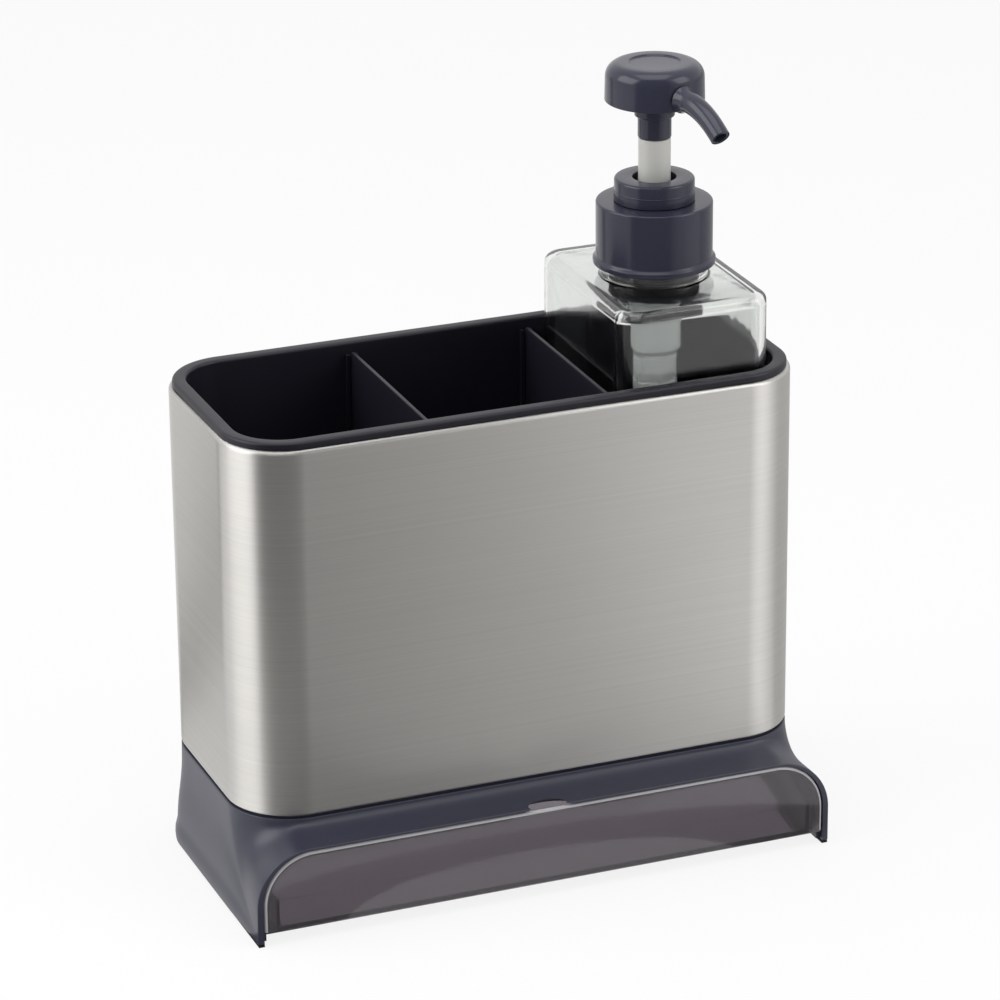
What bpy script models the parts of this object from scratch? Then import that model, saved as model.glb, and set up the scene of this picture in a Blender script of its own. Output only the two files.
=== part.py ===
"""Sink organizer: a steel-sleeved caddy with three compartments, a pump bottle and a drip tray.

All sizes are in metres, +Z is up and -Y is the front. The origin is the middle of the
base's footprint, on the surface that the caddy stands on.
"""
import math

import bmesh
import bpy
from mathutils import Matrix, Vector

# General fits and mesh finenesses
GAP = 0.0003
OVERRUN = 0.004
WELD = 0.00001
CORNER_STEPS = 8
ROUND_STEPS = 40
HOLE_STEPS = 12

# Steel sleeve
SLEEVE_WIDTH = 0.2000
SLEEVE_DEPTH = 0.0898
SLEEVE_HEIGHT = 0.1275
SLEEVE_RADIUS = 0.0223
SHEET = 0.0008
SLEEVE_TOP_ROUND = 0.0014
SLEEVE_FLANGE = 0.0036

# Base shell
BASE_HEIGHT = 0.0378
FRONT_OVERHANG = 0.0134
BASE_FLARE = 0.0024
BASE_WALL = 0.0024
DECK_THICKNESS = 0.0024
ARCH_HEIGHT = 0.0324
ARCH_RADIUS = 0.0190
GROOVE_HEIGHT = 0.0010
GROOVE_DEPTH = 0.0014
SEAT_WIDTH = 0.0058
DECK_RING = 0.0080
DECK_RECESS = 0.0008
LIP_PROUD = 0.0009
SKIRT_DROP_SHARE = 0.50
SKIRT_SWEEP_SHARE = 0.60
SHOULDER_TURN = math.radians(65)

# Front opening of the base
PANEL_MARGIN_SIDE = 0.0021
PANEL_MARGIN_TOP = 0.0007
FRONT_FLANGE_WIDTH = 0.0028
FRONT_FLANGE_THICKNESS = 0.0025
RUNNER_THICKNESS = 0.0016
RUNNER_HOLD = 0.0035
NOTCH_WIDTH = 0.0252
NOTCH_HEIGHT = 0.0090
NOTCH_DEPTH = 0.0150

# Anti-slip strip
STRIP_HEIGHT = 0.0008
STRIP_WIDTH = 0.0020
STRIP_INSET = 0.0002

# Drip tray
PANEL_THICKNESS = 0.0019
PANEL_GAP = 0.0003
PANEL_LIFT = 0.0042
PANEL_ROUND = 0.0004
TRAY_SIDE_INSET = 0.0045
TRAY_WALL = 0.0012
TRAY_FLOOR = 0.0014
TRAY_HEIGHT = 0.0112
TRAY_BACK_GAP = 0.0025

# Inner liner
RIM_INSET = 0.0012
RIM_WIDTH = 0.0048
RIM_RISE = 0.0026
RIM_ROUND = 0.0009
LINER_GAP = 0.0006
LINER_DRAFT = 0.0003
LINER_FLOOR = 0.0020
LINER_LIFT = 0.0022
LINER_FOOT_ROUND = 0.0020
RIB_WIDTH = 0.0012
RIB_PROUD = 0.0020
HOLE_RADIUS = 0.0025
HOLE_PITCH_X = 0.0150
HOLE_PITCH_Y = 0.0170
HOLES_ACROSS = 3
HOLES_DEEP = 4

# Dividers
DIVIDER_THICKNESS = 0.0013
DIVIDER_TOP_DROP = 0.0030
DIVIDER_SLACK = 0.0003
DIVIDER_ROUND = 0.0020

# Bottle
BOTTLE_SIDE_CLEARANCE = 0.0038
BOTTLE_DEPTH_CLEARANCE = 0.0015
BOTTLE_CORNER_CLEARANCE = 0.0005
BOTTLE_OFFSET = -0.0007
BOTTLE_HEIGHT = 0.1500
BOTTLE_EDGE = 0.0030
BOTTLE_WALL = 0.0022
BOTTLE_FLOOR = 0.0030
NECK_HEIGHT = 0.0201
NECK_RADIUS = 0.0179
NECK_WALL = 0.0025

# Screw closure and gasket
CLOSURE_CLEARANCE = 0.0004
CLOSURE_WALL = 0.0012
CLOSURE_TOP = 0.0019
CLOSURE_DROP = 0.0041
CLOSURE_BEAD = 0.0010
CLOSURE_BEAD_HEIGHT = 0.0016
CLOSURE_EDGE = 0.0005
GASKET_THICKNESS = 0.0010
GASKET_INSET = 0.0003
GASKET_PLUG_CLEARANCE = 0.0003
GASKET_PLUG_WALL = 0.0013
GASKET_PLUG_REACH = 0.0080

# Pump housing
HOUSING_RADIUS = 0.0087
HOUSING_WALL = 0.0011
HOUSING_FLANGE_OVERLAP = 0.0015
HOUSING_FLANGE = 0.0016
HOUSING_UPPER = 0.0472
CHAMBER_RADIUS = 0.0073
CHAMBER_STEP = 0.0020
CHAMBER_GROOVE_DROP = 0.0009
CHAMBER_GROOVE = 0.0004
POCKETS = 6
POCKET_SPAN = math.radians(51)
POCKET_TURN = math.radians(-127)
POCKET_DROP = 0.0062
POCKET_HEIGHT = 0.0035
POCKET_DEPTH = 0.0005
SOCKET_TAPER = 0.0050
SOCKET_RADIUS = 0.0042
SOCKET_LENGTH = 0.0080
VALVE_HOLE = 0.0014
VALVE_LAND = 0.0010
VALVE_CONE_RADIUS = 0.0032
VALVE_CONE_HEIGHT = 0.0025

# Lock collar
COLLAR_RADIUS = 0.0134
COLLAR_FOOT_RADIUS = 0.0139
COLLAR_FOOT_HEIGHT = 0.0022
COLLAR_HEIGHT = 0.0077
COLLAR_EDGE = 0.0008
COLLAR_HOLE = 0.0073
COLLAR_HOLE_DEPTH = 0.0045
COLLAR_HUB_RADIUS = 0.0104
COLLAR_SKIRT = 0.0120

# Plunger
STEM_RADIUS = 0.0054
STEM_BORE = 0.0032
STEM_CLEARANCE = 0.0004
STEM_SPIGOT_RADIUS = 0.0044
STROKE = 0.0130
PRESS_ROOM = 0.0008
PISTON_CLEARANCE = 0.0003
PISTON_LENGTH = 0.0060
PISTON_FLOOR = 0.0022
PISTON_BORE = 0.0026
PISTON_DROP = 0.0030
SPRING_WIRE = 0.0009
SPRING_RADIUS = 0.0043
SPRING_TURNS = 6
SPRING_POINTS = 10
SPRING_SLACK = 0.0017
BALL_RADIUS = 0.0023
DIP_TUBE_RADIUS = 0.0025
DIP_TUBE_WALL = 0.0007
DIP_TUBE_CLEARANCE = 0.0004
DIP_TUBE_INSERT = 0.0070
DIP_TUBE_FOOT = 0.0030

# Pump head and spout
HEAD_RADIUS = 0.0163
HEAD_FLARE = 0.0003
HEAD_HEIGHT = 0.0129
HEAD_ROUND = 0.0048
HEAD_WALL = 0.0016
HEAD_TOP_WALL = 0.0030
RECESS_RADIUS = 0.0088
RECESS_DEPTH = 0.0005
BOSS_RADIUS = 0.0072
BOSS_FLANGE_RADIUS = 0.0067
BOSS_FLANGE_LENGTH = 0.0054
HEAD_SOCKET_RADIUS = 0.0056
HEAD_SOCKET_LENGTH = 0.0072
HEAD_SOCKET_CLEARANCE = 0.0003
HEAD_BORE = 0.0022
SPOUT_RADIUS = 0.0039
SPOUT_TIP_RADIUS = 0.0033
SPOUT_WALL = 0.0011
SPOUT_CLEARANCE = 0.0003
SPOUT_AZIMUTH = math.radians(-79.5)
SPOUT_HEIGHT = 0.0040
SPOUT_START = 0.0046
SPOUT_REACH = 0.0378
SPOUT_DROP = 0.0073
SPOUT_COLLAR = 0.0009
SPOUT_COLLAR_LENGTH = 0.0022

# Outlines worked out from the sizes above
SLEEVE_Y = (FRONT_OVERHANG - BASE_FLARE - LIP_PROUD) / 2
FRONT_Y = SLEEVE_Y - SLEEVE_DEPTH / 2 - FRONT_OVERHANG
SLEEVE_TOP = BASE_HEIGHT + SLEEVE_HEIGHT
BASE_BOTTOM = STRIP_HEIGHT + GAP
BASE_TOP = BASE_HEIGHT - GROOVE_HEIGHT
BASE_HALF = SLEEVE_WIDTH / 2 + BASE_FLARE
SEAT_TOP = BASE_HEIGHT - GAP
DECK_UNDERSIDE = ARCH_HEIGHT - PANEL_MARGIN_TOP - FRONT_FLANGE_WIDTH + DECK_RECESS
DECK_TOP = DECK_UNDERSIDE + DECK_THICKNESS
PANEL_HALF = BASE_HALF - PANEL_MARGIN_SIDE - PANEL_GAP
PANEL_TOP = ARCH_HEIGHT - PANEL_MARGIN_TOP - PANEL_GAP
PANEL_RADIUS = ARCH_RADIUS - (PANEL_MARGIN_SIDE + PANEL_MARGIN_TOP) / 2
TRAY_HALF = PANEL_HALF - TRAY_SIDE_INSET
TRAY_BOTTOM = PANEL_LIFT + PANEL_ROUND
LINER_TOP = SLEEVE_TOP + RIM_RISE
LINER_BOTTOM = BASE_HEIGHT + LINER_LIFT
LINER_FLOOR_TOP = LINER_BOTTOM + LINER_FLOOR
LINER_OUTSIDE = SLEEVE_FLANGE + LINER_GAP
LINER_INSIDE = RIM_INSET + RIM_WIDTH
LINER_INSIDE_FOOT = LINER_INSIDE + LINER_DRAFT
COMPARTMENT = (SLEEVE_WIDTH - 2 * LINER_INSIDE - 2 * DIVIDER_THICKNESS) / 3
DIVIDER_X = (COMPARTMENT + DIVIDER_THICKNESS) / 2
DIVIDER_TOP = LINER_TOP - DIVIDER_TOP_DROP
COMPARTMENT_PITCH = COMPARTMENT + DIVIDER_THICKNESS
BOTTLE_X = COMPARTMENT_PITCH + BOTTLE_OFFSET
BOTTLE_BOTTOM = LINER_FLOOR_TOP + GAP
BOTTLE_WIDTH = COMPARTMENT - 2 * BOTTLE_SIDE_CLEARANCE
BOTTLE_DEPTH = SLEEVE_DEPTH - 2 * (LINER_INSIDE_FOOT + BOTTLE_DEPTH_CLEARANCE)
CORNER_U = BOTTLE_X + BOTTLE_WIDTH / 2 - SLEEVE_WIDTH / 2 + SLEEVE_RADIUS
CORNER_V = BOTTLE_DEPTH / 2 - SLEEVE_DEPTH / 2 + SLEEVE_RADIUS
CORNER_ROOM = SLEEVE_RADIUS - LINER_INSIDE_FOOT - BOTTLE_CORNER_CLEARANCE
CORNER_EXCESS = CORNER_U + CORNER_V - CORNER_ROOM
CORNER_REST = max(CORNER_EXCESS ** 2 - CORNER_U ** 2 - CORNER_V ** 2 + CORNER_ROOM ** 2, 0)
BOTTLE_RADIUS = CORNER_EXCESS - math.sqrt(CORNER_REST)

# Pump levels, upwards from the bottle's shoulder
SHOULDER = BOTTLE_BOTTOM + BOTTLE_HEIGHT
NECK_TOP = SHOULDER + NECK_HEIGHT
NECK_BORE = NECK_RADIUS - NECK_WALL
GASKET_BOTTOM = NECK_TOP + GAP
FLANGE_BOTTOM = GASKET_BOTTOM + GASKET_THICKNESS + GAP
FLANGE_TOP = FLANGE_BOTTOM + HOUSING_FLANGE
CLOSURE_UNDERSIDE = FLANGE_TOP + GAP
CLOSURE_TOP_Z = CLOSURE_UNDERSIDE + CLOSURE_TOP
CLOSURE_BOTTOM = SHOULDER + CLOSURE_DROP
CLOSURE_BORE = NECK_RADIUS + CLOSURE_CLEARANCE
CLOSURE_RADIUS = CLOSURE_BORE + CLOSURE_WALL
COLLAR_BOTTOM = CLOSURE_TOP_Z + GAP
COLLAR_TOP = COLLAR_BOTTOM + COLLAR_HEIGHT
STEP_TOP = FLANGE_BOTTOM - HOUSING_UPPER
CHAMBER_TOP = STEP_TOP - CHAMBER_STEP
PISTON_TOP = CHAMBER_TOP - PISTON_DROP
PISTON_BOTTOM = PISTON_TOP - PISTON_LENGTH
SPRING_BLOCK = (SPRING_TURNS + 1) * SPRING_WIRE
CHAMBER_BOTTOM = PISTON_BOTTOM - STROKE - SPRING_BLOCK - SPRING_SLACK
SOCKET_TOP = CHAMBER_BOTTOM - SOCKET_TAPER
SOCKET_BOTTOM = SOCKET_TOP - SOCKET_LENGTH
UPPER_BORE = HOUSING_RADIUS - HOUSING_WALL
CHAMBER_BORE = CHAMBER_RADIUS - HOUSING_WALL
VALVE_SEAT = SOCKET_TOP + VALVE_LAND
VALVE_CONE_TOP = VALVE_SEAT + VALVE_CONE_HEIGHT
VALVE_SLOPE = math.atan2(VALVE_CONE_RADIUS - VALVE_HOLE, VALVE_CONE_HEIGHT)
BALL_Z = VALVE_SEAT - VALVE_HOLE / math.tan(VALVE_SLOPE) + (BALL_RADIUS + GAP) / math.sin(VALVE_SLOPE)
CHAMBER_FLOOR = VALVE_CONE_TOP + (CHAMBER_BORE - VALVE_CONE_RADIUS)
SPRING_SEAT = CHAMBER_FLOOR - (CHAMBER_BORE - SPRING_RADIUS)
SPRING_BOTTOM = SPRING_SEAT + SPRING_WIRE / 2 + 2 * GAP
SPRING_TOP = PISTON_BOTTOM - GAP - SPRING_WIRE / 2
HEAD_SOCKET_BOTTOM = COLLAR_TOP + STROKE + PRESS_ROOM
BOSS_BOTTOM = HEAD_SOCKET_BOTTOM + HEAD_SOCKET_LENGTH
HEAD_BOTTOM = BOSS_BOTTOM + BOSS_FLANGE_LENGTH
HEAD_TOP = HEAD_BOTTOM + HEAD_HEIGHT
SPOUT_Z = HEAD_BOTTOM + SPOUT_HEIGHT
STEM_SHOULDER = HEAD_SOCKET_BOTTOM - GAP
SPOUT_BORE = SPOUT_RADIUS - SPOUT_WALL
STEM_TOP = SPOUT_Z - SPOUT_RADIUS - SPOUT_CLEARANCE - HEAD_WALL
DIP_TUBE_TOP = SOCKET_BOTTOM + DIP_TUBE_INSERT
DIP_TUBE_BOTTOM = BOTTLE_BOTTOM + BOTTLE_FLOOR + DIP_TUBE_FOOT

# Where each ring of the skirt lies between its top edge and its foot
SKIRT_SHARES = (0.0, 0.08, 0.18, 0.30, 0.43, 0.57, 0.71, 0.83, 0.91, 0.95, 0.98, 1.0)
LIP_SHARES = (0.0, 0.0, 0.0, 0.0, 0.0, 0.0, 0.0, 0.0, 0.25, 0.80, 1.0, 0.80)
FRONT_STEPS = 6
LEG_STEPS = 4
SIDE_STEPS = 6
BACK_STEPS = 4
SPOUT_STEPS = 8

# Colours: base colour, roughness, metallic
SMOKY_PLASTIC = ("smoky_plastic", (0.30, 0.28, 0.30), 0.25, 0.0)
DARK_PLASTIC = ("dark_plastic", (0.045, 0.045, 0.062), 0.40, 0.0)
BLACK_PLASTIC = ("black_plastic", (0.012, 0.011, 0.018), 0.45, 0.0)
BLACK_RUBBER = ("black_rubber", (0.010, 0.010, 0.012), 0.80, 0.0)
BRUSHED_STEEL = ("brushed_steel", (0.55, 0.54, 0.51), 0.34, 1.0)
CLEAR_PLASTIC = ("clear_plastic", (0.80, 0.82, 0.80), 0.08, 0.0)
WHITE_PLASTIC = ("white_plastic", (0.72, 0.73, 0.70), 0.38, 0.0)
MILKY_PLASTIC = ("milky_plastic", (0.62, 0.66, 0.65), 0.35, 0.0)
SPRING_STEEL = ("spring_steel", (0.60, 0.60, 0.60), 0.25, 1.0)


def clear_scene():
    """Remove what the scene holds."""
    for old in list(bpy.data.objects):
        bpy.data.objects.remove(old, do_unlink=True)


def new_collection(name):
    """Make a collection in the scene."""
    made = bpy.data.collections.new(name)
    bpy.context.scene.collection.children.link(made)
    return made


def new_material(node, finish):
    """Give a piece its own Principled material."""
    name, colour, roughness, metallic = finish
    made = bpy.data.materials.new(node + "_" + name)
    made.use_nodes = True
    shader = made.node_tree.nodes["Principled BSDF"]
    shader.inputs["Base Color"].default_value = (*colour, 1.0)
    shader.inputs["Roughness"].default_value = roughness
    shader.inputs["Metallic"].default_value = metallic
    made.diffuse_color = (*colour, 1.0)
    return made


def mesh_object(name, verts, edges, faces, home):
    """Make an object from points, edges and faces, with its faces turned out."""
    mesh = bpy.data.meshes.new(name)
    mesh.from_pydata(verts, edges, faces)
    if faces:
        work = bmesh.new()
        work.from_mesh(mesh)
        bmesh.ops.remove_doubles(work, verts=work.verts, dist=WELD)
        bmesh.ops.recalc_face_normals(work, faces=work.faces)
        work.to_mesh(mesh)
        work.free()
    made = bpy.data.objects.new(name, mesh)
    home.objects.link(made)
    return made


def finish_piece(piece, finish, smooth=True):
    """Give a piece its material and its smooth shading."""
    piece.data.materials.clear()
    piece.data.materials.append(new_material(piece.name, finish))
    if smooth:
        piece.data.shade_smooth()
        piece.data.set_sharp_from_angle(angle=math.radians(35))
    return piece


def as_cutter(cutter):
    """Hide a cutter from renders and draw it as wires."""
    cutter.hide_render = True
    cutter.display_type = "WIRE"
    return cutter


def combine(piece, other, operation):
    """Cut, join or intersect a piece with another object."""
    change = piece.modifiers.new(operation.lower() + "_" + other.name, "BOOLEAN")
    change.operation = operation
    change.solver = "EXACT"
    change.object = other
    as_cutter(other)


def bevel_edges(piece, width, segments, angle=math.radians(40)):
    """Round the piece's sharp edges."""
    rounding = piece.modifiers.new("rounding", "BEVEL")
    rounding.width = width
    rounding.segments = segments
    rounding.limit_method = "ANGLE"
    rounding.angle_limit = angle


def arc(centre, radius, start, turn, steps):
    """Points along an arc, both ends included."""
    points = []
    for step in range(steps + 1):
        angle = start + turn * step / steps
        points.append((centre[0] + radius * math.cos(angle), centre[1] + radius * math.sin(angle)))
    return points


def rounded_rectangle(width, depth, radius, steps=CORNER_STEPS):
    """A rectangle with round corners about the origin, counter-clockwise."""
    points = []
    for quarter, (side_x, side_y) in enumerate(((1, 1), (-1, 1), (-1, -1), (1, -1))):
        centre = (side_x * (width / 2 - radius), side_y * (depth / 2 - radius))
        points += arc(centre, radius, quarter * math.pi / 2, math.pi / 2, steps)
    return points


def arch(half, top, radius, bottom):
    """An arch outline from its left foot over its top to its right foot, as (x, z)."""
    points = [(-half, bottom)]
    points += arc((radius - half, top - radius), radius, math.pi, -math.pi / 2, CORNER_STEPS)
    points += arc((half - radius, top - radius), radius, math.pi / 2, -math.pi / 2, CORNER_STEPS)
    points.append((half, bottom))
    return points


def slab(name, outline, low, high, home, along="Z", holes=()):
    """A flat outline made solid between two levels along Z, or along Y for an upright one."""
    shape = bpy.data.curves.new(name, "CURVE")
    shape.dimensions = "2D"
    shape.fill_mode = "BOTH"
    shape.extrude = (high - low) / 2
    for loop in (outline, *holes):
        line = shape.splines.new("POLY")
        line.points.add(len(loop) - 1)
        for point, (x, y) in zip(line.points, loop):
            point.co = (x, y, 0, 1)
        line.use_cyclic_u = True
    middle = (low + high) / 2
    place = Matrix.Translation((0, 0, middle))
    if along == "Y":
        place = Matrix.Translation((0, middle, 0)) @ Matrix.Rotation(math.pi / 2, 4, "X")
    return curve_to_piece(name, shape, home, place)


def curve_to_piece(name, shape, home, place):
    """Turn a curve into a welded mesh object."""
    drawn = bpy.data.objects.new(name + "_curve", shape)
    home.objects.link(drawn)
    bpy.context.view_layer.update()
    graph = bpy.context.evaluated_depsgraph_get()
    mesh = bpy.data.meshes.new_from_object(drawn.evaluated_get(graph))
    work = bmesh.new()
    work.from_mesh(mesh)
    bmesh.ops.transform(work, matrix=place, verts=work.verts)
    bmesh.ops.remove_doubles(work, verts=work.verts, dist=WELD)
    bmesh.ops.recalc_face_normals(work, faces=work.faces)
    work.to_mesh(mesh)
    work.free()
    made = bpy.data.objects.new(name, mesh)
    home.objects.link(made)
    bpy.data.objects.remove(drawn)
    return made


def tube(name, route, radius, home, resolution=3, cyclic=False, taper=1):
    """A round bar along a route, with closed ends; at the last point its radius is times taper."""
    shape = bpy.data.curves.new(name, "CURVE")
    shape.dimensions = "3D"
    shape.bevel_depth = radius
    shape.bevel_resolution = resolution
    shape.use_fill_caps = not cyclic
    line = shape.splines.new("POLY")
    line.points.add(len(route) - 1)
    for index, (point, place) in enumerate(zip(line.points, route)):
        point.co = (*place, 1)
        point.radius = 1 + (taper - 1) * index / (len(route) - 1)
    line.use_cyclic_u = cyclic
    return curve_to_piece(name, shape, home, Matrix.Identity(4))


def turned(name, profile, home, place=(0, 0, 0), ring=False, steps=ROUND_STEPS):
    """A turned piece: the profile runs down its outer side, and a ring's closes on itself."""
    points = [(radius, 0, height) for radius, height in profile]
    edges = [(index, index + 1) for index in range(len(points) - 1)]
    if ring:
        edges.append((len(points) - 1, 0))
    made = mesh_object(name, points, edges, [], home)
    spin = made.modifiers.new("turning", "SCREW")
    spin.axis = "Z"
    spin.angle = 2 * math.pi
    spin.steps = steps
    spin.render_steps = steps
    spin.use_merge_vertices = True
    spin.merge_threshold = WELD
    spin.use_smooth_shade = True
    made.location = place
    return made


def lofted(name, rings, home, capped=True):
    """A body through rings of as many points each, with flat ends or closed on itself."""
    count = len(rings[0])
    verts = [point for ring in rings for point in ring]
    faces = []
    last = len(rings) - 1 if capped else len(rings)
    for level in range(last):
        low = level * count
        high = (level + 1) % len(rings) * count
        for step in range(count):
            after = (step + 1) % count
            faces.append((low + step, low + after, high + after, high + step))
    if capped:
        faces.append(tuple(range(count)))
        faces.append(tuple(range(len(verts) - count, len(verts))))
    return mesh_object(name, verts, [], faces, home)


def inset_ring(inset, height, width=SLEEVE_WIDTH, depth=SLEEVE_DEPTH, radius=SLEEVE_RADIUS):
    """The rounded outline drawn in by an inset, at a height."""
    outline = rounded_rectangle(width - 2 * inset, depth - 2 * inset, max(radius - inset, WELD))
    return [(x, y, height) for x, y in outline]


def cylinder(name, radius, low, high, home, place=(0, 0), steps=ROUND_STEPS):
    """An upright cylinder between two heights."""
    profile = [(0, high), (radius, high), (radius, low), (0, low)]
    return turned(name, profile, home, place=(place[0], place[1], 0), steps=steps)


def box(name, low, high, home):
    """A box between two corners."""
    mesh = bpy.data.meshes.new(name)
    work = bmesh.new()
    size = Vector(high) - Vector(low)
    middle = (Vector(high) + Vector(low)) / 2
    bmesh.ops.create_cube(work, size=1, matrix=Matrix.LocRotScale(middle, None, size))
    work.to_mesh(mesh)
    work.free()
    made = bpy.data.objects.new(name, mesh)
    home.objects.link(made)
    return made


def joined(name, pieces, home):
    """Several apart bodies as one mesh."""
    work = bmesh.new()
    for piece in pieces:
        work.from_mesh(piece.data)
    mesh = bpy.data.meshes.new(name)
    work.to_mesh(mesh)
    work.free()
    for piece in pieces:
        bpy.data.objects.remove(piece)
    made = bpy.data.objects.new(name, mesh)
    home.objects.link(made)
    return made


def skirt_stations():
    """The right half of the skirt, front to back.

    Each station has a top point and its outward direction, a foot point, the share with which
    the surface arrives along the arch, and the share of the lip that it carries.
    """
    corner_x = SLEEVE_WIDTH / 2 - SLEEVE_RADIUS
    corner_y = SLEEVE_DEPTH / 2 - SLEEVE_RADIUS
    front = -SLEEVE_DEPTH / 2 - FRONT_OVERHANG
    arch_x = BASE_HALF - ARCH_RADIUS
    spring = ARCH_HEIGHT - ARCH_RADIUS
    stations = []
    for step in range(FRONT_STEPS):
        share = step / FRONT_STEPS
        top = (share * corner_x, -SLEEVE_DEPTH / 2)
        foot = (share * arch_x, front, ARCH_HEIGHT)
        stations.append((top, (0, -1), foot, 1.0, 0.0))
    for step in range(CORNER_STEPS):
        share = step / CORNER_STEPS
        angle = SHOULDER_TURN * share - math.pi / 2
        way = (math.cos(angle), math.sin(angle))
        top = (corner_x + SLEEVE_RADIUS * way[0], SLEEVE_RADIUS * way[1] - corner_y)
        around = math.pi / 2 * (1 - share)
        rise = ARCH_RADIUS * math.sin(around)
        foot = (arch_x + ARCH_RADIUS * math.cos(around), front, spring + rise)
        stations.append((top, way, foot, 1.0, 0.0))
    for step in range(LEG_STEPS):
        share = step / LEG_STEPS
        angle = (SHOULDER_TURN - math.pi / 2) * (1 - share)
        way = (math.cos(angle), math.sin(angle))
        top = (corner_x + SLEEVE_RADIUS * way[0], SLEEVE_RADIUS * way[1] - corner_y)
        foot = (BASE_HALF, front, spring * (1 - share) + BASE_BOTTOM * share)
        stations.append((top, way, foot, 1.0 - share / 2, 0.0))
    for step in range(SIDE_STEPS):
        share = step / SIDE_STEPS
        top = (SLEEVE_WIDTH / 2, corner_y * (2 * share - 1))
        foot = (BASE_HALF, front + (corner_y - front) * share, BASE_BOTTOM)
        stations.append((top, (1, 0), foot, 0.5 * (step == 0), 1.0 * (step > 0)))
    for step in range(CORNER_STEPS):
        angle = math.pi / 2 * step / CORNER_STEPS
        way = (math.cos(angle), math.sin(angle))
        top = (corner_x + SLEEVE_RADIUS * way[0], corner_y + SLEEVE_RADIUS * way[1])
        reach = SLEEVE_RADIUS + BASE_FLARE
        foot = (corner_x + reach * way[0], corner_y + reach * way[1], BASE_BOTTOM)
        stations.append((top, way, foot, 0.0, 1.0))
    for step in range(BACK_STEPS + 1):
        share = 1 - step / BACK_STEPS
        foot = (corner_x * share, SLEEVE_DEPTH / 2 + BASE_FLARE, BASE_BOTTOM)
        stations.append(((corner_x * share, SLEEVE_DEPTH / 2), (0, 1), foot, 0.0, 1.0))
    return stations


def whole_loop(stations):
    """The right half's stations followed by their mirror images on the left."""
    mirrored = []
    for top, way, foot, along, lip in reversed(stations[1:-1]):
        across = ((-top[0], top[1]), (-way[0], way[1]), (-foot[0], foot[1], foot[2]))
        mirrored.append((*across, along, lip))
    return stations + mirrored


def skirt_point(station, share, lip_share):
    """A point of the skirt's sweep from the sleeve's outline down and out to its foot."""
    top, way, foot, along, lip = station
    drop = BASE_TOP - foot[2]
    run = abs(foot[1] - top[1])
    start = Vector((top[0], top[1], BASE_TOP))
    end = Vector(foot)
    leave = start - Vector((0, 0, SKIRT_DROP_SHARE * drop))
    sweep = Vector((0, SKIRT_SWEEP_SHARE * run * along, SKIRT_DROP_SHARE * drop * (1 - along)))
    arrive = end + sweep
    rest = 1 - share
    upper = rest ** 3 * start + 3 * rest ** 2 * share * leave
    lower = 3 * rest * share ** 2 * arrive + share ** 3 * end
    point = upper + lower
    proud = LIP_PROUD * lip * lip_share
    return (point.x + proud * way[0], point.y + proud * way[1], point.z)


def base_blank(home):
    """The base's outer form as one block, with the well under the liner sunk into it."""
    loop = whole_loop(skirt_stations())
    count = len(loop)
    rings = []
    for share, lip_share in zip(reversed(SKIRT_SHARES), reversed(LIP_SHARES)):
        rings.append([skirt_point(station, share, lip_share) for station in loop])
    seat_edge = GROOVE_DEPTH + SEAT_WIDTH
    steps = (
        (GROOVE_DEPTH, BASE_TOP),
        (GROOVE_DEPTH, SEAT_TOP),
        (seat_edge, SEAT_TOP),
        (seat_edge, DECK_TOP),
        (seat_edge + DECK_RING, DECK_TOP),
        (seat_edge + DECK_RING, DECK_UNDERSIDE - OVERRUN),
    )
    for inset, height in steps:
        rings.append([(top[0] - inset * way[0], top[1] - inset * way[1], height) for top, way, *_ in loop])
    verts = [point for ring in rings for point in ring]
    faces = []
    for level in range(len(rings) - 1):
        low = level * count
        for step in range(count):
            after = (step + 1) % count
            faces.append((low + step, low + after, low + count + after, low + count + step))
    foot = FRONT_STEPS + CORNER_STEPS + LEG_STEPS
    faces.append(tuple(range(foot, count - foot + 1)))
    faces.append(tuple(range(foot + 1)) + tuple(range(count - foot, count)))
    faces.append(tuple(range(len(verts) - count, len(verts))))
    return mesh_object("base_shell", verts, [], faces, home)


def tray_space(cutters):
    """The space for the tray, with a runner left along each side wall."""
    half = BASE_HALF - BASE_FLARE - BASE_WALL
    wide = half + OVERRUN
    radius = ARCH_RADIUS - BASE_WALL
    spring = DECK_UNDERSIDE - radius
    section = arch(half, DECK_UNDERSIDE, radius, -OVERRUN)[2:-2]
    section += [(wide, spring), (wide, -OVERRUN), (-wide, -OVERRUN), (-wide, spring)]
    front = FRONT_Y + PANEL_THICKNESS + PANEL_GAP + FRONT_FLANGE_THICKNESS
    back = SLEEVE_Y + SLEEVE_DEPTH / 2 + BASE_FLARE - BASE_WALL
    space = slab("tray_space", section, front, back + OVERRUN, cutters, along="Y")
    round_back = SLEEVE_RADIUS + BASE_FLARE - BASE_WALL
    centre_y = back - round_back
    plan = [(-half, front - OVERRUN), (half, front - OVERRUN)]
    plan += arc((half - round_back, centre_y), round_back, 0, math.pi / 2, CORNER_STEPS)
    plan += arc((round_back - half, centre_y), round_back, math.pi / 2, math.pi / 2, CORNER_STEPS)
    limit = slab("tray_space_plan", plan, -2 * OVERRUN, BASE_HEIGHT, cutters)
    combine(space, limit, "INTERSECT")
    hold = TRAY_HALF - RUNNER_HOLD
    runner_top = TRAY_BOTTOM - GAP
    runner_bottom = runner_top - RUNNER_THICKNESS
    for name, inner, outer in (("left", -wide, -hold), ("right", hold, wide)):
        low = (inner, front - OVERRUN, runner_bottom)
        high = (outer, back + OVERRUN, runner_top)
        combine(space, box("runner_" + name, low, high, cutters), "DIFFERENCE")
    return space


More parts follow.
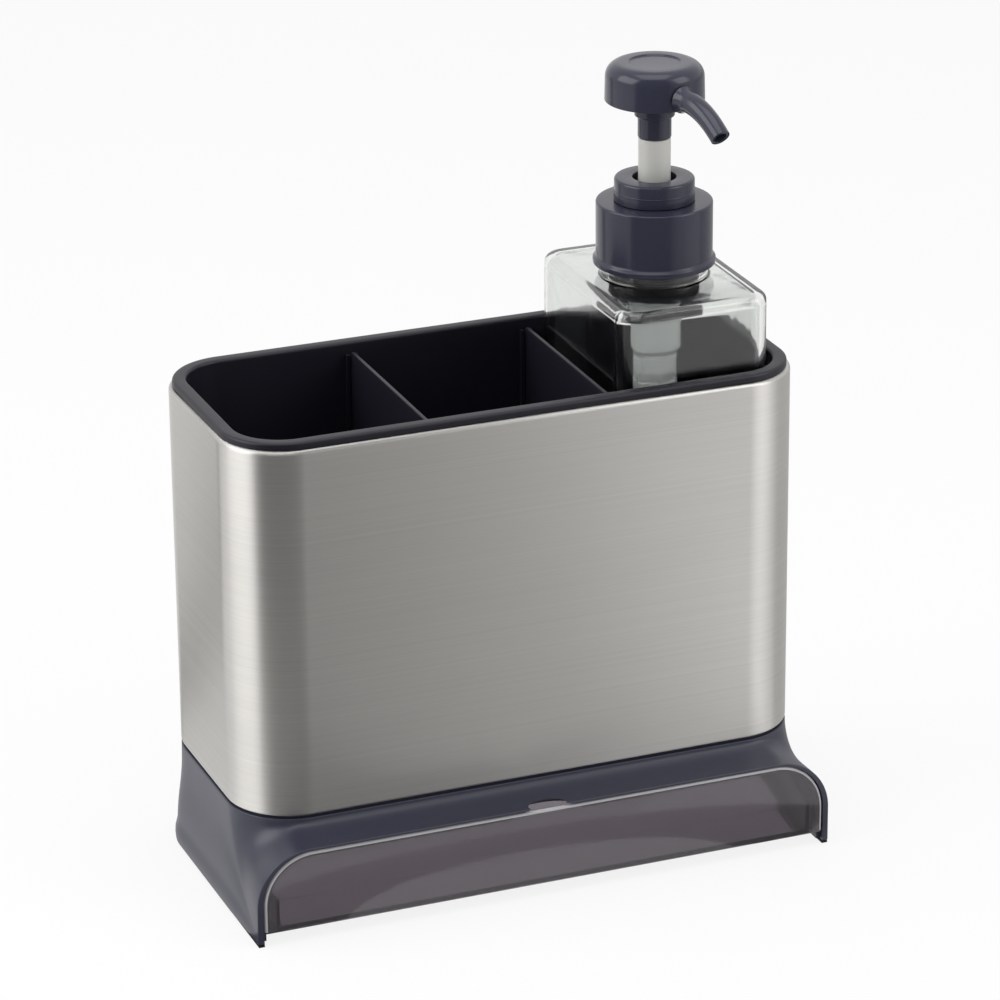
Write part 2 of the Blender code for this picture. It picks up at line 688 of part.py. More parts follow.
def front_opening(cutters):
    """The rebate that the tray's front closes, and the opening inside its flange."""
    rebate_end = FRONT_Y + PANEL_THICKNESS + PANEL_GAP
    half = PANEL_HALF + PANEL_GAP
    rebate = slab("front_rebate", arch(half, PANEL_TOP + PANEL_GAP, PANEL_RADIUS, -OVERRUN),
                  FRONT_Y - OVERRUN, rebate_end, cutters, along="Y")
    inner = half - FRONT_FLANGE_WIDTH
    inner_top = PANEL_TOP + PANEL_GAP - FRONT_FLANGE_WIDTH
    section = arch(inner, inner_top, PANEL_RADIUS - FRONT_FLANGE_WIDTH, PANEL_LIFT)
    side = (half + BASE_HALF - BASE_FLARE - BASE_WALL) / 2
    section += [(side, PANEL_LIFT), (side, -OVERRUN), (-side, -OVERRUN), (-side, PANEL_LIFT)]
    opening = slab("front_flange_opening", section, rebate_end - OVERRUN / 2,
                   rebate_end + FRONT_FLANGE_THICKNESS + OVERRUN / 2, cutters, along="Y")
    return rebate, opening


def finger_notch(cutters):
    """A rounded scoop in the flange, for a finger behind the tray's top edge."""
    mesh = bpy.data.meshes.new("finger_notch")
    work = bmesh.new()
    size = Matrix.LocRotScale(
        (0, FRONT_Y + PANEL_THICKNESS, PANEL_TOP - FRONT_FLANGE_WIDTH),
        None,
        Vector((NOTCH_WIDTH / 2, NOTCH_DEPTH / 2, NOTCH_HEIGHT / 2)),
    )
    bmesh.ops.create_uvsphere(work, u_segments=24, v_segments=12, radius=1, matrix=size)
    work.to_mesh(mesh)
    work.free()
    notch = bpy.data.objects.new("finger_notch", mesh)
    cutters.objects.link(notch)
    return notch


def make_base(parts, cutters):
    """The base shell: skirt, sleeve seat, deck, runners and front opening."""
    base = base_blank(parts)
    base.location = (0, SLEEVE_Y, 0)
    combine(base, tray_space(cutters), "DIFFERENCE")
    for cutter in front_opening(cutters):
        combine(base, cutter, "DIFFERENCE")
    combine(base, finger_notch(cutters), "DIFFERENCE")
    return finish_piece(base, DARK_PLASTIC)


def make_strip(parts):
    """The anti-slip strip under the legs and the back edge."""
    corner = SLEEVE_WIDTH / 2 - SLEEVE_RADIUS
    outer = BASE_HALF - STRIP_INSET
    inner = outer - STRIP_WIDTH
    back_y = SLEEVE_Y + SLEEVE_DEPTH / 2 - SLEEVE_RADIUS
    front_y = FRONT_Y + STRIP_INSET
    outline = [(outer, front_y)]
    outline += arc((corner, back_y), outer - corner, 0, math.pi / 2, CORNER_STEPS)
    outline += arc((-corner, back_y), outer - corner, math.pi / 2, math.pi / 2, CORNER_STEPS)
    outline += [(-outer, front_y), (-inner, front_y)]
    outline += arc((-corner, back_y), inner - corner, math.pi, -math.pi / 2, CORNER_STEPS)
    outline += arc((corner, back_y), inner - corner, math.pi / 2, -math.pi / 2, CORNER_STEPS)
    outline.append((inner, front_y))
    strip = slab("anti_slip_strip", outline, 0, STRIP_HEIGHT, parts)
    return finish_piece(strip, BLACK_RUBBER, smooth=False)


def make_tray(parts, cutters):
    """The drip tray: an arched front panel in one with a shallow open box."""
    panel_back = FRONT_Y + PANEL_THICKNESS
    panel = slab("drip_tray", arch(PANEL_HALF, PANEL_TOP, PANEL_RADIUS - PANEL_GAP, PANEL_LIFT),
                 FRONT_Y, panel_back, parts, along="Y")
    bevel_edges(panel, PANEL_ROUND, 2)
    back = SLEEVE_Y + SLEEVE_DEPTH / 2 + BASE_FLARE - BASE_WALL - TRAY_BACK_GAP
    radius = SLEEVE_RADIUS + BASE_FLARE - BASE_WALL - TRAY_BACK_GAP
    front = panel_back - PANEL_THICKNESS / 2

    def plan(inset, front_y):
        round_x = TRAY_HALF - radius
        points = [(inset - TRAY_HALF, front_y), (TRAY_HALF - inset, front_y)]
        points += arc((round_x, back - radius), radius - inset, 0, math.pi / 2, CORNER_STEPS)
        points += arc((-round_x, back - radius), radius - inset, math.pi / 2, math.pi / 2, CORNER_STEPS)
        return points

    body = slab("tray_box", plan(0, front), TRAY_BOTTOM, PANEL_LIFT + TRAY_HEIGHT, cutters)
    combine(panel, body, "UNION")
    hollow = slab("tray_hollow", plan(TRAY_WALL, panel_back + GAP), TRAY_BOTTOM + TRAY_FLOOR,
                  PANEL_LIFT + TRAY_HEIGHT + OVERRUN, cutters)
    combine(panel, hollow, "DIFFERENCE")
    return finish_piece(panel, SMOKY_PLASTIC)


def make_sleeve(parts):
    """The steel sleeve: a wrapped sheet, its top and bottom edges turned in."""
    top_centre = (SLEEVE_TOP_ROUND, SLEEVE_TOP - SLEEVE_TOP_ROUND)
    section = arc((SHEET, BASE_HEIGHT + SHEET), SHEET, -math.pi / 2, -math.pi / 2, 2)
    section += arc(top_centre, SLEEVE_TOP_ROUND, math.pi, -math.pi / 2, 4)
    section += [
        (SLEEVE_FLANGE, SLEEVE_TOP),
        (SLEEVE_FLANGE, SLEEVE_TOP - SHEET),
        (SLEEVE_TOP_ROUND, SLEEVE_TOP - SHEET),
        (SHEET, SLEEVE_TOP - SLEEVE_TOP_ROUND),
        (SHEET, BASE_HEIGHT + SHEET),
        (SLEEVE_FLANGE, BASE_HEIGHT + SHEET),
        (SLEEVE_FLANGE, BASE_HEIGHT),
    ]
    rings = [inset_ring(inset, height) for inset, height in section]
    sleeve = lofted("steel_sleeve", rings, parts, capped=False)
    sleeve.location = (0, SLEEVE_Y, 0)
    return finish_piece(sleeve, BRUSHED_STEEL)


def liner_holes(cutters):
    """Drain holes through the liner's floor, a grid in each compartment."""
    low = LINER_BOTTOM - OVERRUN
    high = LINER_FLOOR_TOP + OVERRUN / 2
    whole_turn = 2 * math.pi * (HOLE_STEPS - 1) / HOLE_STEPS
    holes = []
    for bay in (-1, 0, 1):
        for column in range(HOLES_ACROSS):
            for row in range(HOLES_DEEP):
                x = bay * COMPARTMENT_PITCH + (column - (HOLES_ACROSS - 1) / 2) * HOLE_PITCH_X
                y = (row - (HOLES_DEEP - 1) / 2) * HOLE_PITCH_Y
                name = "drain_hole_%d_%d_%d" % (bay, column, row)
                outline = arc((x, y), HOLE_RADIUS, 0, whole_turn, HOLE_STEPS - 1)
                holes.append(slab(name, outline, low, high, cutters))
    return joined("drain_holes", holes, cutters)


def liner_ribs(cutters):
    """Pairs of upright ribs on the front and back walls that hold the dividers."""
    wall = SLEEVE_DEPTH / 2 - LINER_INSIDE
    root = wall + (LINER_INSIDE - LINER_OUTSIDE) / 2
    near = DIVIDER_THICKNESS / 2 + DIVIDER_SLACK
    ribs = []
    for side in (-1, 1):
        for flank in (-1, 1):
            for end in (-1, 1):
                face = side * DIVIDER_X + flank * near
                x_pair = sorted((face, face + flank * RIB_WIDTH))
                y_pair = sorted((end * root, end * (wall - RIB_PROUD)))
                low = (x_pair[0], y_pair[0], LINER_FLOOR_TOP - LINER_FLOOR / 2)
                high = (x_pair[1], y_pair[1], DIVIDER_TOP - RIB_WIDTH)
                ribs.append(box("rib_%d_%d_%d" % (side, flank, end), low, high, cutters))
    return joined("divider_ribs", ribs, cutters)


def make_liner(parts, cutters):
    """The liner: a rimmed bin with a pierced floor that hangs in the sleeve."""
    under = SLEEVE_TOP + GAP
    foot = LINER_FOOT_ROUND
    rim_centre = LINER_TOP - RIM_ROUND
    outside_centre = (LINER_OUTSIDE + LINER_DRAFT + foot, LINER_BOTTOM + foot)
    inside_centre = (LINER_INSIDE_FOOT + foot, LINER_FLOOR_TOP + foot)
    section = arc(outside_centre, foot, -math.pi / 2, -math.pi / 2, 3)
    section += [(LINER_OUTSIDE, under), (RIM_INSET, under)]
    section += arc((RIM_INSET + RIM_ROUND, rim_centre), RIM_ROUND, math.pi, -math.pi / 2, 3)
    section += arc((LINER_INSIDE - RIM_ROUND, rim_centre), RIM_ROUND, math.pi / 2, -math.pi / 2, 3)
    section += arc(inside_centre, foot, math.pi, math.pi / 2, 3)
    rings = [inset_ring(inset, height) for inset, height in section]
    liner = lofted("inner_liner", rings, parts)
    liner.location = (0, SLEEVE_Y, 0)
    ribs = liner_ribs(cutters)
    ribs.location = (0, SLEEVE_Y, 0)
    holes = liner_holes(cutters)
    holes.location = (0, SLEEVE_Y, 0)
    combine(liner, ribs, "UNION")
    combine(liner, holes, "DIFFERENCE")
    return finish_piece(liner, BLACK_PLASTIC)


def make_divider(side, name, parts):
    """A divider plate with rounded corners, standing between its ribs."""
    half = SLEEVE_DEPTH / 2 - LINER_INSIDE_FOOT - DIVIDER_SLACK
    low = LINER_FLOOR_TOP + GAP
    foot = LINER_FOOT_ROUND
    corner_x = half - DIVIDER_ROUND
    corner_z = DIVIDER_TOP - DIVIDER_ROUND
    outline = [(foot - half, low), (half - foot, low), (half, low + foot)]
    outline += arc((corner_x, corner_z), DIVIDER_ROUND, 0, math.pi / 2, 3)
    outline += arc((-corner_x, corner_z), DIVIDER_ROUND, math.pi / 2, math.pi / 2, 3)
    outline.append((-half, low + foot))
    plate = slab(name, outline, -DIVIDER_THICKNESS / 2, DIVIDER_THICKNESS / 2, parts, along="Y")
    plate.data.transform(Matrix.Rotation(math.pi / 2, 4, "Z"))
    plate.location = (side * DIVIDER_X, SLEEVE_Y, 0)
    return finish_piece(plate, BLACK_PLASTIC)


def bottle_rings(wall, low, high, edge):
    """Rings of the bottle's body, drawn in by a wall, with rounded foot and shoulder edges."""
    width = BOTTLE_WIDTH - 2 * wall
    depth = BOTTLE_DEPTH - 2 * wall
    radius = BOTTLE_RADIUS - wall
    section = arc((edge, low + edge), edge, -math.pi / 2, -math.pi / 2, 3)
    section += arc((edge, high - edge), edge, math.pi, -math.pi / 2, 3)
    return [inset_ring(inset, height, width, depth, radius) for inset, height in section]


def make_bottle(parts, cutters):
    """The clear bottle: a square body with a round neck, hollow throughout."""
    place = (BOTTLE_X, SLEEVE_Y, 0)
    bottle = lofted("bottle", bottle_rings(0, BOTTLE_BOTTOM, SHOULDER, BOTTLE_EDGE), parts)
    neck = cylinder("bottle_neck", NECK_RADIUS, SHOULDER - BOTTLE_WALL / 2, NECK_TOP, cutters)
    inside = bottle_rings(BOTTLE_WALL, BOTTLE_BOTTOM + BOTTLE_FLOOR, SHOULDER - BOTTLE_WALL, BOTTLE_EDGE)
    hollow = lofted("bottle_hollow", inside, cutters)
    bore = cylinder("bottle_bore", NECK_BORE, SHOULDER - 2 * BOTTLE_WALL, NECK_TOP + OVERRUN, cutters)
    for piece in (bottle, neck, hollow, bore):
        piece.location = place
    combine(bottle, neck, "UNION")
    combine(bottle, hollow, "DIFFERENCE")
    combine(bottle, bore, "DIFFERENCE")
    return finish_piece(bottle, CLEAR_PLASTIC)


def pump_piece(name, profile, finish, parts, ring=True, steps=ROUND_STEPS):
    """A turned piece on the pump's axis."""
    piece = turned(name, profile, parts, place=(BOTTLE_X, SLEEVE_Y, 0), ring=ring, steps=steps)
    return finish_piece(piece, finish)


def make_closure(parts):
    """The screw closure over the neck, open at the top for the collar's hub."""
    hole = COLLAR_HUB_RADIUS + CLOSURE_CLEARANCE
    bead_top = CLOSURE_BOTTOM + CLOSURE_BEAD_HEIGHT
    profile = [
        (hole, CLOSURE_TOP_Z),
        (CLOSURE_RADIUS - CLOSURE_EDGE, CLOSURE_TOP_Z),
        (CLOSURE_RADIUS, CLOSURE_TOP_Z - CLOSURE_EDGE),
        (CLOSURE_RADIUS, bead_top + CLOSURE_BEAD),
        (CLOSURE_RADIUS + CLOSURE_BEAD, bead_top),
        (CLOSURE_RADIUS + CLOSURE_BEAD, CLOSURE_BOTTOM),
        (CLOSURE_BORE, CLOSURE_BOTTOM),
        (CLOSURE_BORE, CLOSURE_UNDERSIDE),
        (hole, CLOSURE_UNDERSIDE),
    ]
    return pump_piece("closure", profile, DARK_PLASTIC, parts)


def make_gasket(parts):
    """The seal under the housing's flange, with a dark plug that lines the neck."""
    top = GASKET_BOTTOM + GASKET_THICKNESS
    outer = NECK_RADIUS - GASKET_INSET
    plug = NECK_BORE - GASKET_PLUG_CLEARANCE
    inner = plug - GASKET_PLUG_WALL
    bottom = SHOULDER - GASKET_PLUG_REACH
    profile = [
        (inner, top),
        (outer, top),
        (outer, GASKET_BOTTOM),
        (plug, GASKET_BOTTOM),
        (plug, bottom),
        (inner, bottom),
    ]
    return pump_piece("gasket", profile, BLACK_RUBBER, parts)


def make_collar(parts):
    """The lock collar: a stepped ring on the closure with a hub and skirt through it."""
    skirt_radius = UPPER_BORE - STEM_CLEARANCE
    skirt_bottom = COLLAR_BOTTOM - COLLAR_SKIRT
    guide = STEM_RADIUS + STEM_CLEARANCE
    foot_top = COLLAR_BOTTOM + COLLAR_FOOT_HEIGHT
    hole_floor = COLLAR_TOP - COLLAR_HOLE_DEPTH
    hub_bottom = FLANGE_TOP + GAP
    profile = [
        (COLLAR_HOLE, COLLAR_TOP),
        (COLLAR_RADIUS - COLLAR_EDGE, COLLAR_TOP),
        (COLLAR_RADIUS, COLLAR_TOP - COLLAR_EDGE),
        (COLLAR_RADIUS, foot_top),
        (COLLAR_FOOT_RADIUS, foot_top),
        (COLLAR_FOOT_RADIUS, COLLAR_BOTTOM),
        (COLLAR_HUB_RADIUS, COLLAR_BOTTOM),
        (COLLAR_HUB_RADIUS, hub_bottom),
        (skirt_radius, hub_bottom),
        (skirt_radius, skirt_bottom),
        (guide, skirt_bottom),
        (guide, hole_floor),
        (COLLAR_HOLE, hole_floor),
    ]
    return pump_piece("lock_collar", profile, DARK_PLASTIC, parts)


def housing_pockets(cutters):
    """Shallow pockets round the chamber, with narrow ribs between them."""
    inner = CHAMBER_RADIUS - POCKET_DEPTH
    outer = CHAMBER_RADIUS + OVERRUN
    top = CHAMBER_TOP - POCKET_DROP
    pockets = []
    for index in range(POCKETS):
        start = POCKET_TURN + 2 * math.pi * index / POCKETS - POCKET_SPAN / 2
        outline = arc((0, 0), outer, start, POCKET_SPAN, CORNER_STEPS)
        outline += arc((0, 0), inner, start + POCKET_SPAN, -POCKET_SPAN, CORNER_STEPS)
        pockets.append(slab("pocket_%d" % index, outline, top - POCKET_HEIGHT, top, cutters))
    return joined("housing_pockets", pockets, cutters)


def make_housing(parts, cutters):
    """The pump housing: flange, upper barrel, pump chamber, ball seat and tube socket."""
    flange = NECK_BORE + HOUSING_FLANGE_OVERLAP
    tube_bore = DIP_TUBE_RADIUS + DIP_TUBE_CLEARANCE
    groove_top = CHAMBER_TOP - CHAMBER_GROOVE_DROP
    profile = [
        (UPPER_BORE, FLANGE_TOP),
        (flange, FLANGE_TOP),
        (flange, FLANGE_BOTTOM),
        (HOUSING_RADIUS, FLANGE_BOTTOM),
        (HOUSING_RADIUS, STEP_TOP),
        (CHAMBER_RADIUS, CHAMBER_TOP),
        (CHAMBER_RADIUS, groove_top),
        (CHAMBER_RADIUS - CHAMBER_GROOVE, groove_top - CHAMBER_GROOVE / 2),
        (CHAMBER_RADIUS, groove_top - CHAMBER_GROOVE),
        (CHAMBER_RADIUS, CHAMBER_BOTTOM),
        (SOCKET_RADIUS, SOCKET_TOP),
        (SOCKET_RADIUS, SOCKET_BOTTOM),
        (tube_bore, SOCKET_BOTTOM),
        (tube_bore, SOCKET_TOP),
        (VALVE_HOLE, SOCKET_TOP),
        (VALVE_HOLE, VALVE_SEAT),
        (VALVE_CONE_RADIUS, VALVE_CONE_TOP),
        (CHAMBER_BORE, CHAMBER_FLOOR),
        (CHAMBER_BORE, CHAMBER_TOP),
        (UPPER_BORE, STEP_TOP),
    ]
    housing = pump_piece("pump_housing", profile, MILKY_PLASTIC, parts)
    pockets = housing_pockets(cutters)
    pockets.location = (BOTTLE_X, SLEEVE_Y, 0)
    combine(housing, pockets, "DIFFERENCE")
    return housing


def make_stem(parts):
    """The hollow stem, with a spigot for the head above and for the piston below."""
    piston_seat = PISTON_BOTTOM + PISTON_FLOOR + GAP
    profile = [
        (STEM_BORE, STEM_TOP),
        (STEM_SPIGOT_RADIUS, STEM_TOP),
        (STEM_SPIGOT_RADIUS, STEM_SHOULDER),
        (STEM_RADIUS, STEM_SHOULDER),
        (STEM_RADIUS, PISTON_TOP + GAP),
        (STEM_SPIGOT_RADIUS, PISTON_TOP + GAP),
        (STEM_SPIGOT_RADIUS, piston_seat),
        (STEM_BORE, piston_seat),
    ]
    return pump_piece("stem", profile, WHITE_PLASTIC, parts)


def make_piston(parts):
    """The piston that slides in the chamber, cupped round the stem's lower end."""
    outer = CHAMBER_BORE - PISTON_CLEARANCE
    cup = STEM_SPIGOT_RADIUS + GAP
    floor_top = PISTON_BOTTOM + PISTON_FLOOR
    profile = [
        (cup, PISTON_TOP),
        (outer, PISTON_TOP),
        (outer, PISTON_BOTTOM),
        (PISTON_BORE, PISTON_BOTTOM),
        (PISTON_BORE, floor_top),
        (cup, floor_top),
    ]
    return pump_piece("piston", profile, BLACK_PLASTIC, parts)


def make_spring(parts):
    """The return spring under the piston, one unbroken wire."""
    rise = (SPRING_TOP - SPRING_BOTTOM) / SPRING_TURNS
    route = []
    for step in range(SPRING_TURNS * SPRING_POINTS + 1):
        angle = 2 * math.pi * step / SPRING_POINTS
        height = SPRING_BOTTOM + rise * step / SPRING_POINTS
        route.append((SPRING_RADIUS * math.cos(angle), SPRING_RADIUS * math.sin(angle), height))
    print("return_spring: least gap between curls %.2f mm" % ((rise - SPRING_WIRE) * 1000))
    spring = tube("return_spring", route, SPRING_WIRE / 2, parts, resolution=1)
    spring.location = (BOTTLE_X, SLEEVE_Y, 0)
    return finish_piece(spring, SPRING_STEEL)


def make_ball(parts):
    """The check ball in its cone."""
    mesh = bpy.data.meshes.new("check_ball")
    work = bmesh.new()
    bmesh.ops.create_uvsphere(work, u_segments=16, v_segments=10, radius=BALL_RADIUS)
    work.to_mesh(mesh)
    work.free()
    ball = bpy.data.objects.new("check_ball", mesh)
    parts.objects.link(ball)
    ball.location = (BOTTLE_X, SLEEVE_Y, BALL_Z)
    return finish_piece(ball, SPRING_STEEL)


def make_dip_tube(parts):
    """The dip tube from the housing's socket to just above the bottle's floor."""
    bore = DIP_TUBE_RADIUS - DIP_TUBE_WALL
    profile = [
        (bore, DIP_TUBE_TOP),
        (DIP_TUBE_RADIUS, DIP_TUBE_TOP),
        (DIP_TUBE_RADIUS, DIP_TUBE_BOTTOM),
        (bore, DIP_TUBE_BOTTOM),
    ]
    return pump_piece("dip_tube", profile, MILKY_PLASTIC, parts, steps=16)


def along_spout(reach, drop=0):
    """A point at a distance from the pump's axis in the spout's direction."""
    return (reach * math.cos(SPOUT_AZIMUTH), reach * math.sin(SPOUT_AZIMUTH), SPOUT_Z - drop)


def spout_route():
    """The spout's centre line, level at first and then bending down."""
    bend_start = HEAD_RADIUS + HEAD_FLARE + SPOUT_COLLAR_LENGTH
    run = SPOUT_REACH - bend_start
    route = [along_spout(SPOUT_START), along_spout(bend_start)]
    for step in range(1, SPOUT_STEPS + 1):
        share = step / SPOUT_STEPS
        route.append(along_spout(bend_start + run * share, SPOUT_DROP * share ** 2))
    return route


def make_head(parts, cutters):
    """The press-down head: a rounded cap, hollow below, with a boss and socket for the stem."""
    flare = HEAD_RADIUS + HEAD_FLARE
    ceiling = HEAD_TOP - HEAD_TOP_WALL
    socket_bore = STEM_SPIGOT_RADIUS + HEAD_SOCKET_CLEARANCE
    round_centre = (HEAD_RADIUS - HEAD_ROUND, HEAD_TOP - HEAD_ROUND)
    profile = [
        (0, HEAD_TOP - RECESS_DEPTH),
        (RECESS_RADIUS - RECESS_DEPTH, HEAD_TOP - RECESS_DEPTH),
        (RECESS_RADIUS, HEAD_TOP),
    ]
    profile += arc(round_centre, HEAD_ROUND, math.pi / 2, -math.pi / 2, 7)
    profile += [
        (flare, HEAD_BOTTOM + HEAD_FLARE),
        (flare - HEAD_FLARE, HEAD_BOTTOM),
        (flare - HEAD_WALL, HEAD_BOTTOM),
        (HEAD_RADIUS - HEAD_WALL, ceiling - HEAD_WALL),
        (HEAD_RADIUS - HEAD_WALL - HEAD_TOP_WALL, ceiling),
        (BOSS_RADIUS, ceiling),
        (BOSS_RADIUS, HEAD_BOTTOM),
        (BOSS_FLANGE_RADIUS, HEAD_BOTTOM - HEAD_FLARE),
        (BOSS_FLANGE_RADIUS, BOSS_BOTTOM),
        (HEAD_SOCKET_RADIUS, BOSS_BOTTOM),
        (HEAD_SOCKET_RADIUS, HEAD_SOCKET_BOTTOM),
        (socket_bore, HEAD_SOCKET_BOTTOM),
        (socket_bore, STEM_TOP + GAP),
        (HEAD_BORE, STEM_TOP + GAP),
        (HEAD_BORE, SPOUT_Z),
        (0, SPOUT_Z),
    ]
    head = pump_piece("actuator_head", profile, DARK_PLASTIC, parts, ring=False)
    start = SPOUT_START - SPOUT_CLEARANCE
    ends = [along_spout(start), along_spout(HEAD_RADIUS + OVERRUN)]
    hole = tube("spout_hole", ends, SPOUT_RADIUS + SPOUT_CLEARANCE, cutters, resolution=6)
    duct_ends = [along_spout(0), along_spout(2 * start)]
    duct = tube("head_duct", duct_ends, HEAD_BORE, cutters, resolution=3)
    for cutter in (hole, duct):
        cutter.location = (BOTTLE_X, SLEEVE_Y, 0)
        combine(head, cutter, "DIFFERENCE")
    return head


def make_spout(parts, cutters):
    """The curved, tapering spout with its conical root collar and open bore."""
    route = spout_route()
    taper = SPOUT_TIP_RADIUS / SPOUT_RADIUS
    spout = tube("spout", route, SPOUT_RADIUS, parts, resolution=5, taper=taper)
    way = Vector(route[-1]) - Vector(route[-2])
    past_tip = tuple(Vector(route[-1]) + way.normalized() * OVERRUN)
    bore_route = [along_spout(SPOUT_START - OVERRUN), *route[1:], past_tip]
    bore = tube("spout_bore", bore_route, SPOUT_BORE, cutters, resolution=3, taper=taper)
    near = HEAD_RADIUS + HEAD_FLARE + GAP
    ends = [along_spout(near), along_spout(near + SPOUT_COLLAR_LENGTH)]
    root = SPOUT_RADIUS + SPOUT_COLLAR
    collar = tube("spout_collar", ends, root, cutters, resolution=6, taper=SPOUT_RADIUS / root)
    for piece in (spout, bore, collar):
        piece.location = (BOTTLE_X, SLEEVE_Y, 0)
    combine(spout, collar, "UNION")
    combine(spout, bore, "DIFFERENCE")
    return finish_piece(spout, DARK_PLASTIC)


def main():
    """Build the organizer."""
    clear_scene()
    parts = new_collection("sink_organizer")
    cutters = new_collection("cutters")
    make_base(parts, cutters)
    make_strip(parts)
    make_tray(parts, cutters)
    make_sleeve(parts)
    make_liner(parts, cutters)
    make_divider(-1, "divider_left", parts)
    make_divider(1, "divider_right", parts)
    make_bottle(parts, cutters)
    make_closure(parts)
    make_gasket(parts)
    make_collar(parts)
    make_housing(parts, cutters)
    make_stem(parts)
    make_piston(parts)
    make_spring(parts)
    make_ball(parts)
    make_dip_tube(parts)
    make_head(parts, cutters)
    make_spout(parts, cutters)


main()
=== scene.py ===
"""Fine model of the sink organizer, laid out as an add-on with one operator for each piece.

Every size is in metres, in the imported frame: +Z up, -Y the front, and the origin in the
middle of the footprint. Each piece stands where its plain solid stands in the frame.
"""

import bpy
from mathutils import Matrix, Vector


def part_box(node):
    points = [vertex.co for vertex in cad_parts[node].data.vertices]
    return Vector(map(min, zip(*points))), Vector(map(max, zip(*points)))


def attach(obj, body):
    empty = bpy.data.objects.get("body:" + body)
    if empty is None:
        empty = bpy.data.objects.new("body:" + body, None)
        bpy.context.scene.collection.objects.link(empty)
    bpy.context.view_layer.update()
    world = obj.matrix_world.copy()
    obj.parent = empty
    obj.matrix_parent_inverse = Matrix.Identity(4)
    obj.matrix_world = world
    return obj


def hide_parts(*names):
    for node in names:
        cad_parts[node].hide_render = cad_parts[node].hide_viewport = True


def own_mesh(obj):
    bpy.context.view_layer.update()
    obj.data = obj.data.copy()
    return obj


bl_info = {
    "name": "Sink Organizer",
    "version": (1, 0, 0),
    "blender": (4, 5, 0),
    "location": "View3D > Sidebar > Organizer",
    "description": "Makes the finished pieces of a sink organizer on its packed frame",
    "category": "Add Mesh",
}

from itertools import product
from math import atan2, cos, pi, radians, sin, tan

import bmesh
import bpy
from mathutils import Matrix, Vector

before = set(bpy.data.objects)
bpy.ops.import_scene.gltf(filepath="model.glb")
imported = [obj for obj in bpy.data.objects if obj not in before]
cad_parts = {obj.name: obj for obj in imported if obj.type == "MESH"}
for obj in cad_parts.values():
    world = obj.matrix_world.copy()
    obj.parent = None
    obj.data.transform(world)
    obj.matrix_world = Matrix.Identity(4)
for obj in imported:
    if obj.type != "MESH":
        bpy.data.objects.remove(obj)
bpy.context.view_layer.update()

# Fineness of the meshes
CORNER_STEPS = 22
ROUND_STEPS = 6
SLEEVE_TOP_STEPS = 10
HEAD_ROUND_STEPS = 10
TURN_STEPS = 128
TUBE_STEPS = 48
HOLE_STEPS = 24
EDGE_STEPS = 3
WIRE_STEPS = 12
NOTCH_STEPS = 32
WELD = 0.000004
SHARP_ANGLE = radians(38)
OVERRUN = 0.004
GAP = 0.0003

# Directions
RIGHT, BACK, UP = Vector((1, 0, 0)), Vector((0, 1, 0)), Vector((0, 0, 1))
QUARTER = pi / 2

# Places taken from the frame
SLEEVE_LOW, SLEEVE_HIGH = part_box("steel_sleeve")
BASE_LOW, BASE_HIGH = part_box("base_shell")
TRAY_LOW, TRAY_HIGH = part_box("drip_tray")
LINER_LOW, LINER_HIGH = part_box("inner_liner")
PLATE_LOW, PLATE_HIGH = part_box("divider_right")
BOTTLE_LOW, BOTTLE_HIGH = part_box("bottle")
CLOSURE_LOW, CLOSURE_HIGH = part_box("closure")
COLLAR_LOW, COLLAR_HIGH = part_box("lock_collar")
GASKET_LOW, GASKET_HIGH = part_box("gasket")
HOUSING_LOW, HOUSING_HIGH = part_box("pump_housing")
STEM_LOW, STEM_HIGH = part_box("stem")
PISTON_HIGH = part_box("piston")[1]
SPRING_LOW, SPRING_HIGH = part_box("return_spring")
DIP_LOW, DIP_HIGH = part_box("dip_tube")
HEAD_LOW, HEAD_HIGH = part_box("actuator_head")
SLEEVE_Y = (SLEEVE_LOW.y + SLEEVE_HIGH.y) / 2
SLEEVE_WIDTH = SLEEVE_HIGH.x - SLEEVE_LOW.x
SLEEVE_DEPTH = SLEEVE_HIGH.y - SLEEVE_LOW.y
PUMP_X = (CLOSURE_LOW.x + CLOSURE_HIGH.x) / 2
PUMP_PLACE = (PUMP_X, SLEEVE_Y, 0)

# Base
BASE_FLARE = 0.0024
BASE_WALL = 0.0024
BASE_HALF = SLEEVE_WIDTH / 2 + BASE_FLARE
LIP_PROUD = 0.0009
LIP_START_SHARE = 0.84
LIP_FULL_SHARE = 0.96
LIP_TUCK_SHARE = 0.2
DECK_THICKNESS = 0.0024
DECK_RING = 0.0080
DECK_RECESS = 0.0008
ARCH_HEIGHT = 0.0324
GROOVE_HEIGHT = 0.0010
GROOVE_DEPTH = 0.0014
SEAT_WIDTH = 0.0058
RIM_EDGE = 0.0004
PANEL_MARGIN_SIDE = 0.0021
PANEL_MARGIN_TOP = 0.0007
FLANGE_WIDTH = 0.0028
FLANGE_THICKNESS = 0.0025
PANEL_MARGIN = (PANEL_MARGIN_SIDE + PANEL_MARGIN_TOP) / 2
DECK_UNDERSIDE = ARCH_HEIGHT - PANEL_MARGIN_TOP - FLANGE_WIDTH + DECK_RECESS
RUNNER_THICKNESS = 0.0016
RUNNER_HOLD = 0.0035
NOTCH_SIZE = (0.0252, 0.0150, 0.0090)
SKIRT_DROP_SHARE = 0.50
SKIRT_SWEEP_SHARE = 0.60
SHOULDER_TURN = radians(65)
SKIRT_RINGS = 30
EASE_PASSES = 40
EASE_PULLS = (0.50, -0.52)
FRONT_STEPS = 20
LEG_STEPS = 10
SIDE_STEPS = 18
SIDE_LEVEL = 0.5
SIDE_PACE = 3
BACK_STEPS = 12

